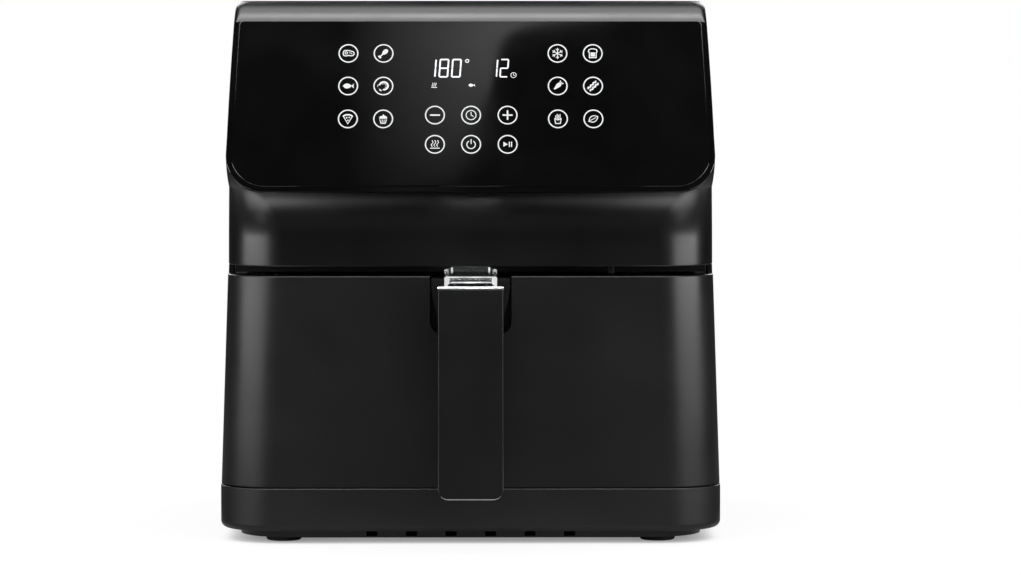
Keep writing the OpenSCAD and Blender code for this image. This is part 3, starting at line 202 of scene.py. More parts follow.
def ring(half, y_front, y_back, fx, fy, br, z):
    """Level ring of a box with elliptical front corners and round rear ones."""
    points = (arc(half - fx, y_front + fy, fx, fy, -90) + arc(half - br, y_back - br, br, br, 0)
              + arc(-half + br, y_back - br, br, br, 90) + arc(-half + fx, y_front + fy, fx, fy, 180))
    return [(x, y, z) for x, y in points]


def even_ring(half, y_front, r, inset, z):
    """Level ring that reaches the back, with four like corners, set in all round."""
    r -= inset
    return ring(half - inset, y_front + inset, BACK_Y - inset, r, r, r, z)


def round_steps(radius, steps=4):
    """Inset and height along a rounded edge, from its flat end to its side."""
    angles = [radians(90 * i / steps) for i in range(steps + 1)]
    return [(radius * (1 - sin(a)), radius * (1 - cos(a))) for a in angles]


# ---- Nodes ----


def set_values(node, values):
    for key, value in values.items():
        node.inputs[key].default_value = value


def add_node(tree, kind, values=None, **settings):
    """A shader node with its settings and with plain values on its sockets."""
    node = set_all(tree.nodes.new("ShaderNode" + kind), **settings)
    set_values(node, values or {})
    return node


def link(output, socket):
    socket.id_data.links.new(output, socket)


def new_material(name, values=None):
    """A material with plain values on its shader's sockets; returns it, its tree and shader."""
    made = bpy.data.materials.new(name)
    made.use_nodes = True
    tree = made.node_tree
    shader = tree.nodes["Principled BSDF"]
    set_values(shader, values or {})
    return made, tree, shader


def own_place(tree):
    """Coordinates in the object's own frame."""
    return add_node(tree, "TexCoord").outputs["Object"]


def noise(tree, scale, detail=3, stretch=(1, 1, 1)):
    """Noise in the object's own frame; a stretch draws it out into grain."""
    mapping = add_node(tree, "Mapping", {"Scale": stretch})
    field = add_node(tree, "TexNoise", {"Scale": scale, "Detail": detail})
    link(own_place(tree), mapping.inputs["Vector"])
    link(mapping.outputs["Vector"], field.inputs["Vector"])
    return field.outputs["Fac"]


def ramp(value, stops):
    """A colour ramp over a value; stops are (position, colour)."""
    node = add_node(value.id_data, "ValToRGB")
    steps = node.color_ramp.elements
    for i, (position, colour) in enumerate(stops):
        step = steps[i] if i < 2 else steps.new(position)
        step.position = position
        step.color = (*colour, 1)
    link(value, node.inputs["Fac"])
    return node.outputs["Color"]


def spread(value, low, high, start=0.3, end=0.7):
    """A value mapped from start..end to low..high."""
    levels = {"From Min": start, "From Max": end, "To Min": low, "To Max": high}
    node = add_node(value.id_data, "MapRange", levels)
    link(value, node.inputs["Value"])
    return node.outputs["Result"]


def bump(shader, height, depth, strength=1):
    """Relief of a depth in millimetres."""
    node = add_node(shader.id_data, "Bump", {"Strength": strength, "Distance": depth * MM})
    link(height, node.inputs["Height"])
    if shader.inputs["Normal"].links:
        link(shader.inputs["Normal"].links[0].from_socket, node.inputs["Normal"])
    link(node.outputs["Normal"], shader.inputs["Normal"])


def paint(shader, tone, stops, gloss, low, high):
    """Colour from one field through a ramp, and roughness between two levels from another."""
    link(ramp(tone, stops), shader.inputs["Base Color"])
    link(spread(gloss, low, high), shader.inputs["Roughness"])


def shade(colour, share):
    return tuple(min(1, c * share) for c in colour)


# ---- Materials ----


def plastic(name, colour, rough, vary=0.12, grain_depth=0.012, grain=1400):
    """Moulded plastic: a fine grain, a cloudy colour and uneven gloss."""
    made, tree, shader = new_material(name)
    stops = [(0.3, shade(colour, 1 - vary)), (0.7, shade(colour, 1 + vary))]
    paint(shader, noise(tree, 9, 4), stops, noise(tree, 22, 5), rough - 0.035, rough + 0.045)
    bump(shader, noise(tree, grain, 2), grain_depth)
    bump(shader, noise(tree, 14, 2), 0.05, 0.35)
    return made


def metal(name, colour, rough, stretch=(1, 1, 1), grain=260, depth=0.006, vary=0.1):
    """Metal with a grain drawn along one way, and uneven gloss."""
    made, tree, shader = new_material(name, {"Metallic": 1})
    lines = noise(tree, grain, 4, stretch)
    stops = [(0.25, shade(colour, 1 - 2 * vary)), (0.55, colour), (0.8, shade(colour, 1 + vary))]
    paint(shader, lines, stops, noise(tree, 30, 5), rough - 0.05, rough + 0.08)
    bump(shader, lines, depth)
    return made


def heated_metal(name, colour, tint, rough):
    """Steel that heat has tinted in patches."""
    made, tree, shader = new_material(name, {"Metallic": 1})
    patches = noise(tree, 24, 5)
    stops = [(0.3, colour), (0.55, tint), (0.75, shade(colour, 0.6))]
    paint(shader, patches, stops, patches, rough, rough + 0.2)
    bump(shader, noise(tree, 900, 3), 0.01)
    return made


def speckled_coat(name, colour, speck, rough):
    """Non-stick coating: dark, satin, with fine pale specks."""
    made, tree, shader = new_material(name, {"Coat Weight": 0.25, "Coat Roughness": 0.3})
    stops = [(0, colour), (0.66, shade(colour, 1.15)), (0.72, speck)]
    paint(shader, noise(tree, 1300, 1), stops, noise(tree, 40, 4), rough - 0.04, rough + 0.06)
    bump(shader, noise(tree, 700, 3), 0.02)
    return made


def glossy_panel(name, colour):
    """The touch panel's hard gloss, with a faint dust and hairline unevenness."""
    made, tree, shader = new_material(name, {"IOR": 1.5})
    stops = [(0.35, colour), (0.75, shade(colour, 1.6))]
    paint(shader, noise(tree, 60, 6), stops, noise(tree, 18, 4), 0.035, 0.075)
    bump(shader, noise(tree, 5, 1), 0.03, 0.3)
    return made


def clear_plastic(name):
    """Clear moulded plastic with faint flow lines."""
    made, tree, shader = new_material(name, {"Transmission Weight": 1, "IOR": 1.47})
    flow = noise(tree, 60, 3, (1, 1, 4))
    stops = [(0.3, (0.93, 0.95, 0.955)), (0.7, (0.97, 0.975, 0.98))]
    paint(shader, flow, stops, noise(tree, 90, 3), 0.02, 0.07)
    bump(shader, flow, 0.02, 0.4)
    return made


def lit_tone(tree, shader, scale, stops):
    """One fine tone for both the colour and the glow."""
    tone = ramp(noise(tree, scale, 2), stops)
    link(tone, shader.inputs["Base Color"])
    link(tone, shader.inputs["Emission Color"])


def glowing_polished_edge(name):
    """The cut edges of clear plastic: glossy, with a painted glow that stands in for the light they gather.
    """
    values = {"Specular IOR Level": 0.9, "IOR": 1.49, "Emission Strength": 0.25}
    made, tree, shader = new_material(name, values)
    lit_tone(tree, shader, 220, [(0.35, (0.50, 0.51, 0.52)), (0.65, (0.96, 0.97, 0.98))])
    link(spread(noise(tree, 300, 2), 0.3, 0.45), shader.inputs["Roughness"])
    return made


def printed_ink(name, colour, glow):
    """White print under the panel's gloss, which its lamp lights a little."""
    made, tree, shader = new_material(name, {"Roughness": 0.35, "Emission Strength": glow})
    lit_tone(tree, shader, 2600, [(0.3, shade(colour, 0.88)), (0.7, colour)])
    return made


def wound_copper(name):
    """Enamelled winding: the turns show as fine level ribs."""
    made, tree, shader = new_material(name, {"Metallic": 0.85, "Coat Weight": 0.4, "Coat Roughness": 0.1})
    ribs = add_node(tree, "TexWave", {"Scale": 420, "Distortion": 1.5}, bands_direction="X")
    link(own_place(tree), ribs.inputs["Vector"])
    stops = [(0, (0.16, 0.045, 0.015)), (0.6, (0.55, 0.19, 0.07))]
    paint(shader, ribs.outputs["Fac"], stops, noise(tree, 60), 0.25, 0.4)
    bump(shader, ribs.outputs["Fac"], 0.25)
    return made


def circuit_board(name):
    """Green solder mask over faint copper tracks."""
    made, tree, shader = new_material(name, {"Coat Weight": 0.3, "Coat Roughness": 0.2})
    tracks = add_node(tree, "TexVoronoi", {"Scale": 150}, distance="MANHATTAN")
    link(own_place(tree), tracks.inputs["Vector"])
    stops = [(0, (0.30, 0.32, 0.30)), (0.09, (0.012, 0.11, 0.045)), (0.5, (0.02, 0.16, 0.06))]
    paint(shader, tracks.outputs["Distance"], stops, noise(tree, 70), 0.35, 0.5)
    bump(shader, tracks.outputs["Distance"], 0.05)
    return made


def all_materials():
    """A material for each slot of the record and for the scene's own finishes."""
    plastics = {
        "shell_black": ((0.0055, 0.0055, 0.0058), 0.33),
        "drawer_black": ((0.0155, 0.0155, 0.0160), 0.34),
        "tray_black": ((0.0190, 0.0190, 0.0196), 0.36),
        # A lighter copy of the tray's black: painted light on the skirt, which sits in shade under the
        # tray.
        "skirt_black": ((0.024, 0.024, 0.025), 0.30),
        "dark_plastic": ((0.0045, 0.0045, 0.0050), 0.42, 0.12, 0.02),
        "grip_black": ((0.0138, 0.0138, 0.0142), 0.30),
        "rubber_black": ((0.012, 0.012, 0.012), 0.78, 0.12, 0.05, 900),
        "display_white": ((0.75, 0.75, 0.76), 0.5, 0.04),
        "switch_black": ((0.0045, 0.0045, 0.0048), 0.7),
        "cutout_white": ((0.70, 0.68, 0.64), 0.45, 0.05),
    }
    metals = {
        "chrome_trim": ((0.82, 0.83, 0.85), 0.1, (1, 1, 1), 260, 0.001, 0.02),
        "sheet_steel": ((0.56, 0.57, 0.58), 0.32, (1, 1, 26)),
        "fan_aluminium": ((0.70, 0.71, 0.72), 0.28, (1, 1, 20)),
        "motor_steel": ((0.30, 0.31, 0.33), 0.42, (1, 1, 60), 400, 0.03),
        "brass_nut": ((0.72, 0.52, 0.24), 0.3),
        "screw_steel": ((0.50, 0.51, 0.53), 0.3, (1, 1, 8)),
        "spring_steel": ((0.60, 0.61, 0.63), 0.22),
    }
    made = [plastic(name, *look) for name, look in plastics.items()]
    made += [metal(name, *look) for name, look in metals.items()]
    made += [
        glossy_panel("panel_black", (0.0040, 0.0040, 0.0043)),
        clear_plastic("clear_guard"),
        glowing_polished_edge("clear_edge"),
        speckled_coat("nonstick", (0.022, 0.022, 0.023), (0.11, 0.11, 0.115), 0.4),
        heated_metal("heater_steel", (0.34, 0.31, 0.29), (0.30, 0.22, 0.16), 0.32),
        wound_copper("copper"),
        circuit_board("board_green"),
        printed_ink("panel_print", (0.86, 0.87, 0.88), 0.25),
        printed_ink("panel_light", (0.88, 0.90, 0.93), 0.55),
    ]
    return {material.name.split(".")[0]: material for material in made}


# ---- Shapes that several pieces share ----


def lower_half_w(z):
    return LOWER_BOTTOM_W / 2 - (LOWER_BOTTOM_W - LOWER_TOP_W) / 2 * (z - DRAWER_Z) / DRAWER_H


def hood_half_w(z):
    share = max(0, (z - HOOD_Z) / (OVERALL_H - HOOD_Z))
    return HOOD_BOTTOM_W / 2 - (HOOD_BOTTOM_W - HOOD_TOP_W) / 2 * share ** 2


def lower_ring(inset, z):
    return even_ring(lower_half_w(z), FRONT_Y, CORNER_R, inset, z)


def tray_ring(inset, z):
    return even_ring(BASE_W / 2, FRONT_Y - TRAY_PROUD, CORNER_R, inset, z)


def wall_rings(ring_at, z0, z1, edge_r):
    """Rings up a wall with rounded outer edges and down its inner face, to be looped."""
    low = [ring_at(inset, z0 + rise) for inset, rise in round_steps(edge_r)]
    high = [ring_at(inset, z1 - rise) for inset, rise in reversed(round_steps(edge_r))]
    return low + high + [ring_at(WALL, z1), ring_at(WALL, z0)]


def seat_at(z):
    return SEAT_Y + (z - SEAT_Z) * tan(PANEL_ANGLE)


def corner_inset(s):
    if s >= PANEL_CORNER_R:
        return 0
    return PANEL_CORNER_R - sqrt(PANEL_CORNER_R ** 2 - (PANEL_CORNER_R - s) ** 2)


def cheek_depth(s):
    if s >= PANEL_CORNER_R:
        return SEAT_EDGE_R
    full = FRONT_Y + CORNER_R - SEAT_Y
    return SEAT_EDGE_R + (full - SEAT_EDGE_R) * (1 - s / PANEL_CORNER_R) ** 1.5


def crown_inset(r, z):
    return 0 if z <= OVERALL_H - r else r - sqrt(max(0, r * r - (z - OVERALL_H + r) ** 2))


def hood_ring(z, y_front, fx, fy, inset=0):
    return ring(hood_half_w(z) - crown_inset(CROWN_SIDE_R, z + inset) - inset, y_front,
                BACK_Y - crown_inset(CROWN_REAR_R, z + inset) - inset,
                max(fx - inset, 1), max(fy - inset, 1), CORNER_R - inset, z)


def on_panel(x, s, depth=0):
    """A point of the panel: across, up its slope, and into the hood."""
    return (x, PANEL_Y + s * PANEL_SIN + depth * PANEL_COS,
            PANEL_Z + s * PANEL_COS - depth * PANEL_SIN)


# ---- Housing ----


def cove_points(steps):
    """The cove's profile: its bend starts gently and grows towards the panel."""
    bends = [radians(COVE_END) * ((i + 0.5) / steps) ** COVE_EASE for i in range(steps)]
    reach = sum(sin(a) for a in bends)
    step = COVE_R * (1 - cos(radians(COVE_END))) / reach
    y, z = FRONT_Y, SEAT_Z - step * sum(cos(a) for a in bends)
    points = [(0, y, z)]
    for i, a in enumerate(bends):
        y, z = y - step * sin(a), z + step * cos(a)
        points.append(((i + 1) / steps, y, z))
    return points


def hood_outer_rings():
    """Rings up the outside: foot, cove, panel's seat, crown."""
    rings = [hood_ring(HOOD_Z + rise, FRONT_Y + inset, CORNER_R, CORNER_R, inset)
             for inset, rise in round_steps(EDGE_R)]
    for t, y, z in cove_points(28):
        ease = t * t * (3 - 2 * t)
        rings.append(hood_ring(z, y, CORNER_R + (PANEL_CORNER_R - CORNER_R) * ease, FRONT_Y + CORNER_R - y))
    corner = (0.01, 0.03, 0.06, 0.1, 0.15, 0.2, 0.27, 0.35, 0.45, 0.55, 0.65, 0.75, 0.87, 1)
    slope = (0.35, 0.5, 0.65, 0.8, 0.9, 1)
    for s in [PANEL_CORNER_R * t for t in corner] + [PANEL_LEN * t for t in slope]:
        z = SEAT_Z + s * PANEL_COS
        rings.append(hood_ring(z, seat_at(z), corner_inset(s) + SEAT_EDGE_R, cheek_depth(s)))
    crown_y = seat_at(CROWN_Z + CROWN_R * PANEL_SIN) + CROWN_R * PANEL_COS
    for i in range(17):
        a = PANEL_ANGLE + (pi / 2 - PANEL_ANGLE) * i / 16
        z = CROWN_Z + CROWN_R * sin(a)
        fx = 3 + 5 * i / 16
        rings.append(hood_ring(z, crown_y - CROWN_R * cos(a), fx, fx))
    return rings


def hood_inner_rings():
    """Rings up the inside, a wall's thickness in."""
    slope_wall = WALL / PANEL_COS
    inner_r = COVE_R + WALL
    rings = [hood_ring(z, FRONT_Y + WALL, CORNER_R, CORNER_R, WALL) for z in (HOOD_Z, COVE_Z)]
    for a in (18, 36, 54, 72):
        z = COVE_Z + inner_r * sin(radians(a))
        y = max(FRONT_Y - COVE_R + inner_r * cos(radians(a)), seat_at(z) + slope_wall)
        rings.append(hood_ring(z, y, CORNER_R + (PANEL_CORNER_R - CORNER_R) * a / 90,
                               FRONT_Y + CORNER_R + WALL - y, WALL))
    for t in (0.25, 0.5, 0.75, 1, 1.3):
        s = t * PANEL_CORNER_R
        z = SEAT_Z + WALL + s * PANEL_COS
        rings.append(hood_ring(z, seat_at(z) + slope_wall, corner_inset(s) + SEAT_EDGE_R + WALL,
                               cheek_depth(s) + WALL, WALL))
    high = PANEL_TOP_Z - 4
    for z in (high, OVERALL_H - WALL - 5, OVERALL_H - WALL):
        rings.append(hood_ring(z, seat_at(high) + slope_wall + max(0, z - PANEL_TOP_Z), 8, 8, WALL))
    return rings


def make_hood():
    piece = loft("hood", list(reversed(hood_inner_rings())) + hood_outer_rings())
    cut(piece,
        block("outlet_hole", (-OUTLET_HALF, BACK_Y - 8, OUTLET_Z), (OUTLET_HALF, BACK_Y + 5, OUTLET_TOP_Z)),
        block("inlet_hole", (-INLET_HALF, INLET_Y, OVERALL_H - 8),
              (INLET_HALF, INLET_BACK_Y, OVERALL_H + 5)))
    return smooth(piece, 40)


def make_body():
    piece = loft("body_wall", wall_rings(lower_ring, TRAY_TOP_Z, HOOD_Z - 0.3, EDGE_R), looped=True)
    gland = arc(GLAND_X, GLAND_Z, GLAND_R, GLAND_R, 0, 360, 24)[:-1]
    cut(piece, block("front_cut", (-200, -200, 0), (200, SEAM_Y, 400)),
        prism("gland_hole", gland, BACK_Y - 8, BACK_Y + 5))
    return smooth(piece)


def skirt_ring(inset, z):
    return even_ring(BASE_W / 2, FRONT_Y, SKIRT_CORNER_R, inset, z)


def make_base():
    """The tray with its rounded lower edge."""
    edge = [tray_ring(inset, TRAY_Z + rise) for inset, rise in round_steps(TRAY_EDGE_R, 8)]
    top = [tray_ring(inset, TRAY_TOP_Z - rise) for inset, rise in reversed(round_steps(0.4))]
    inner = [tray_ring(WALL, TRAY_TOP_Z), tray_ring(WALL, TRAY_Z + WALL)]
    return smooth(loft("tray", edge + top + inner))


def make_skirt():
    """The slotted skirt that stands under the tray."""
    inner = SKIRT_INSET + SKIRT_T
    piece = loft("skirt", [
        skirt_ring(SKIRT_INSET + SKIRT_LEAN, SKIRT_CLEAR), skirt_ring(SKIRT_INSET, TRAY_Z + 0.5),
        skirt_ring(inner, TRAY_Z + 0.5), skirt_ring(inner + SKIRT_LEAN, SKIRT_CLEAR)], looped=True)
    y = FRONT_Y + SKIRT_INSET
    holes = []
    for i in range(SLOT_COUNT):
        x = (i - (SLOT_COUNT - 1) / 2) * SLOT_PITCH
        holes.append(block(f"slot_{i}", (x - SLOT_W / 2, y - 10, SKIRT_CLEAR + 0.8),
                           (x + SLOT_W / 2, y + 10, SKIRT_CLEAR + 3.9)))
    cut(piece, *holes)
    return smooth(piece)


def panel_outline(inset, low_r, top_r):
    """The panel's outline across and up its slope, with a gap under the crown."""
    low_w = hood_half_w(PANEL_Z + PANEL_CORNER_R * PANEL_COS) - inset
    top_w = hood_half_w(PANEL_TOP_Z) - inset
    top = PANEL_LEN - 1 - min(inset, 0.3)
    right = (arc(low_w - low_r, inset - PANEL_LIP + low_r, low_r, low_r, -90, steps=16)
             + arc(top_w - top_r, top - top_r, top_r, top_r, 0))
    return right + [(-x, s) for x, s in reversed(right)]


def make_panel():
    """The touch panel: a glass plate with a rounded edge in a black frame that overhangs the cove."""
    glass = [(3.8, 0), (3.45, 0.08), (3.18, 0.27), (3.03, 0.6), (3, 1)]
    steps = glass + [(0.25, 1), (0.1, 1.15), (0.1, PANEL_T)]
    low_r = PANEL_CORNER_R + PANEL_LIP
    rings = [[on_panel(x, s, depth) for x, s in panel_outline(inset, low_r - inset, 2.5)]
             for inset, depth in steps]
    return smooth(loft("panel", rings), 35)


# ---- Drawer ----

DRAWER_BACK_Y = SEAM_Y - 0.6
PAN_FRONT_Y, PAN_RIM_HALF = -112, 132.6
RECESS_HALF, RECESS_Z, RECESS_FLOOR_Y, RECESS_WALL, NOTCH_Z = 24.2, 124.6, -118, 1.6, 148.2
HANDLE_FRONT_Y, HANDLE_TOP_Z, HANDLE_Z, HANDLE_W = -180, 155.8, 30.8, 38
GRIP_TOP_Z = 154
NECK_FRONT_Y, NECK_BACK_Y, NECK_Z, NECK_TOP_Z, NECK_W = -133, -120.5, 127, 158, 46.4
GUARD_HALF, GUARD_FRONT_Y, GUARD_BACK_Y = 15.7, -156, -135
GUARD_Z, GUARD_FRONT_TOP_Z, GUARD_BACK_TOP_Z, GUARD_WALL = 152.7, 160.4, 164, 1.8
RIM_HALF, RIDGE_HALF = 15.5, 11.7
SPRING_TURNS, SPRING_WIRE_R = 6, 0.3


def recess_outline(half, z0, z1, r):
    """The recess's face, open to the top, with rounded lower corners."""
    left = arc(-half + r, z0 + r, r, r, 180)
    right = arc(half - r, z0 + r, r, r, 270)
    return [(-half, z1)] + left + right + [(half, z1)]


def make_drawer_face():
    """The drawer's wrapped front, its decks and the pocket for the handle's neck."""
    piece = loft("drawer_face", wall_rings(lower_ring, DRAWER_Z, DRAWER_TOP_Z, EDGE_R), looped=True)
    low_deck = loft("low_deck", [lower_ring(2, DRAWER_Z + 0.1), lower_ring(2, DRAWER_Z + 2.4)])
    top_deck = loft("top_deck", [lower_ring(2, DRAWER_TOP_Z - 2.4), lower_ring(2, DRAWER_TOP_Z - 0.1)])
    cut(top_deck, block("rim_cut", (-PAN_RIM_HALF, PAN_FRONT_Y - 6.6, 0), (PAN_RIM_HALF, 200, 400)))
    half, y = RECESS_HALF + RECESS_WALL, FRONT_Y + 1
    pocket = block("pocket", (-half, y, RECESS_Z - RECESS_WALL),
                   (half, RECESS_FLOOR_Y + RECESS_WALL, NOTCH_Z))
    collar = block("collar", (-half, y, RECESS_Z + 10), (half, PAN_FRONT_Y - 6.6, DRAWER_TOP_Z - 0.5))
    join(piece, low_deck, top_deck, pocket, collar)
    cut(piece,
        block("back_cut", (-200, DRAWER_BACK_Y, 0), (200, 300, 400)),
        prism("recess", recess_outline(RECESS_HALF, RECESS_Z, 400, 8), RECESS_FLOOR_Y - 40, RECESS_FLOOR_Y),
        block("recess_top", (-RECESS_HALF, FRONT_Y - 10, NOTCH_Z), (RECESS_HALF, PAN_FRONT_Y + 5, 400)),
        block("arm_way", (-6.2, RECESS_FLOOR_Y - 2, 132), (6.2, RECESS_FLOOR_Y + 8, 142)))
    return soften(piece, 0.5, angle=50)


# ---- Handle ----


def plate_outline(half, z0, z1, r, top_r=0.5):
    """Plate with rounded corners, larger below."""
    return (arc(-half + r, z0 + r, r, r, 180) + arc(half - r, z0 + r, r, r, 270)
            + arc(half - top_r, z1 - top_r, top_r, top_r, 0, steps=4)
            + arc(-half + top_r, z1 - top_r, top_r, top_r, 90, steps=4))


def make_neck():
    """The neck behind the grip: its sides curve in towards a rounded foot."""
    right = []
    low_half = HANDLE_W / 2 - 1
    taper_z = NECK_TOP_Z - 2
    for i in range(17):
        t = i / 16
        x = NECK_W / 2 - (NECK_W / 2 - low_half) * t ** 2.2
        right.append((x, taper_z - (taper_z - NECK_Z - 6) * t))
    foot = arc(low_half - 6, NECK_Z + 6, 6, 6, 0, -90, 10)
    side = [(NECK_W / 2, NECK_TOP_Z)] + right + foot
    outline = side + [(-x, z) for x, z in reversed(side)]
    piece = prism("neck", outline, NECK_FRONT_Y, NECK_BACK_Y)
    cut(piece,
        block("arm_way", (-6, NECK_FRONT_Y - 1, 132.5), (6, NECK_BACK_Y + 1, 142)),
        block("tongue_way", (-16.2, NECK_FRONT_Y + 2.8, 150.9), (16.2, NECK_BACK_Y + 1, 153.1)))
    return soften(piece, 4.5, segments=5)


def make_trim_plate():
    """The bright plate behind the cover, which shows as a line below it."""
    half = HANDLE_W / 2
    rings = [(-177, 1.1, 5.2), (-176, 0, 6), (-174, 0, 6)]
    return loft("trim_plate", [[(x, y, z) for x, z in plate_outline(half, HANDLE_Z + rise, GRIP_TOP_Z, r)]
                               for y, rise, r in rings])


def make_lip():
    """The bright lip over the cover, whose face leans back."""
    half = HANDLE_W / 2 + 0.3
    y, z = HANDLE_FRONT_Y, HANDLE_TOP_Z
    profile = [(y, z - 1.7), (y + 0.8, z), (y + 5, z), (y + 5, z - 1.7)]
    rings = [[(x, *spot) for spot in profile] for x in (-half, half)]
    return soften(loft("lip", rings), 0.4, segments=3)


def make_cover():
    outline = plate_outline(HANDLE_W / 2 - 0.15, HANDLE_Z + 0.9, HANDLE_TOP_Z - 1.5, 5.4)
    return soften(prism("cover", outline, HANDLE_FRONT_Y + 0.15, HANDLE_FRONT_Y + 3), 0.55, segments=3)


def guard_top(y):
    """Height of the guard's top, which rises towards the back."""
    share = (y - GUARD_FRONT_Y) / (GUARD_BACK_Y - GUARD_FRONT_Y)
    return GUARD_FRONT_TOP_Z + (GUARD_BACK_TOP_Z - GUARD_FRONT_TOP_Z) * share


def guard_rings(inset, back, r, top_r):
    """Rings up the guard: upright sides, then a rounded edge into the sloping top."""
    def at(low, extra):
        half, y0 = GUARD_HALF - inset - extra, GUARD_FRONT_Y + inset + extra
        points = ring(half, y0, GUARD_BACK_Y + back, max(r - extra, 0.4), max(r - extra, 0.4), 0.4, 0)
        return [(x, y, low(y)) for x, y, _ in points]
    rings = [at(lambda y: GUARD_Z - (1 if inset else 0), 0)]
    for step, drop in reversed(round_steps(top_r, 5)):
        rings.append(at(lambda y, drop=drop: guard_top(y) - inset - drop, step))
    return rings


def guard_hole(outline):
    return prism("hole", outline, GUARD_FRONT_Y - 1, GUARD_FRONT_Y + 2)


def make_guard():
    """The clear guard: a visor with a thumb ridge, open behind and below, on the grip's grooves."""
    piece = loft("guard", guard_rings(0, 0, 3.5, 1.6))
    ridge = loft("ridge", [ring(RIDGE_HALF, -139, GUARD_BACK_Y, 1.6, 1.6, 0.4, 160.4),
                           ring(RIDGE_HALF, -139, GUARD_BACK_Y, 1.6, 1.6, 0.4, 164.7),
                           ring(RIDGE_HALF - 0.5, -138.5, GUARD_BACK_Y - 0.4, 1.2, 1.2, 0.4, 165.2)])
    join(piece, ridge)
    hollow = loft("hollow", guard_rings(GUARD_WALL, 3, 2, 1))
    foot, low = GRIP_TOP_Z - 3, GRIP_TOP_Z + 2.6
    arch = guard_hole([(-14.7, foot), (14.7, foot), (14.7, GRIP_TOP_Z), (12.1, low), (-12.1, low),
                       (-14.7, GRIP_TOP_Z)])
    front = block("front", (-30, GUARD_FRONT_Y - 1, 140), (30, GUARD_FRONT_Y + 2, GRIP_TOP_Z + 0.3))
    cut(piece, hollow, arch, front)
    soften(piece, 0.7, angle=40)
    # The rounded edges take the edge material, whose glow is painted light.
    piece.modifiers["edges"].material = 1
    return piece


def make_guard_rim():
    """The guard's polished edges, in the edge material with its painted glow: round its open front, up its
    back corners and round the ridge.
    """
    top, low = GUARD_FRONT_TOP_Z, GRIP_TOP_Z + 2.6
    arch = [(-15, 150), (15, 150), (13.4, low - 0.8), (12.1, low), (-12.1, low), (-13.4, low - 0.8)]
    window = [(-12.6, low - 0.1), (-11.3, low + 0.8), (11.3, low + 0.8), (12.6, low - 0.1),
              (12.6, top - 0.9), (-12.6, top - 0.9)]
    piece = prism("guard_rim", plate_outline(RIM_HALF, GRIP_TOP_Z + 0.4, top + 0.1, 0.4, 1.4),
                  GUARD_FRONT_Y + 0.05, GUARD_FRONT_Y + 0.9)
    cut(piece, guard_hole(arch), guard_hole(window))
    for half, wall, y, z0, z1 in ((RIM_HALF, 1.9, GUARD_BACK_Y - 1.2, 156.5, GUARD_BACK_TOP_Z - 0.6),
                                  (RIDGE_HALF - 0.2, 1.1, -138.9, 160.6, 164.9)):
        for side in (-1, 1):
            x0, x1 = sorted((side * half, side * (half - wall)))
            join(piece, block("post", (x0, y, z0), (x1, y + 1, z1)))
    return soften(piece, 0.15)


def button_ring(inset, z):
    r = max(3 - inset, 0.6)
    return ring(10.5 - inset, -151 + inset, -137.5 - inset, r, r, r, z)


def make_button():
    """The release button: a block with a rounded top on its stem."""
    rounded = [button_ring(step, 158 - drop) for step, drop in reversed(round_steps(2.2))]
    piece = loft("button", [button_ring(0, 143)] + rounded)
    join(piece, block("stem", (-4, -150, 139.5), (4, -142, 144)))
    return smooth(piece, 40)


def make_spring():
    """The latch's coil spring with closed ends, made at one length; the real one shortens as the button
    goes down.
    """
    low, high = ([v / MM for v in corner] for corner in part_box("latch_spring"))
    wire = SPRING_WIRE_R
    middle_y, coil_r = (low[1] + high[1]) / 2, (high[0] - low[0]) / 2 - wire
    bottom, length = low[2] + wire, high[2] - low[2] - 2 * wire
    round_wire = arc(coil_r, 0, wire, wire, 0, 360, 8)[:-1]
    steps = 40 * SPRING_TURNS
    rings = []
    for i in range(steps + 1):
        t = i / steps
        turn = tau * SPRING_TURNS * t
        z = bottom + length * (t - 0.06 * sin(tau * t))
        rings.append([(r * cos(turn), middle_y + r * sin(turn), z + rise)
                      for r, rise in round_wire])
    piece = loft("spring", rings)
    smooth(piece, 50, weigh=False)
    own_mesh(piece)
    return piece


# ---- Print on the panel ----

KEY_R, KEY_STROKE, GLYPH_STROKE = 5.9, 0.75, 0.62
PRINT_DEPTH = 0.05
# Middle of each key: across, and up the slope
LEFT_X, RIGHT_X, MIDDLE_X = (-72.3, -51.5), (51.5, 72.4), (-21, 0.3, 21.8)
KEY_S, MIDDLE_S = (83.8, 63.1, 42.3), (44.7, 26.3)


def ribbon(points, width, closed=False):
    """Left and right edges of a stroke through points."""
    spots = [Vector(point) for point in points]
    left, right = [], []
    for i, spot in enumerate(spots):
        ways = []
        if closed or i:
            ways.append((spot - spots[i - 1]).normalized())
        if closed or i < len(spots) - 1:
            ways.append((spots[(i + 1) % len(spots)] - spot).normalized())
        way = sum(ways, Vector((0, 0))).normalized()
        mitre = min(1.6, 1 / max(0.3, way.dot(ways[0])))
        across = Vector((-way.y, way.x)) * width / 2 * mitre
        left.append(tuple(spot + across))
        right.append(tuple(spot - across))
    return left, right


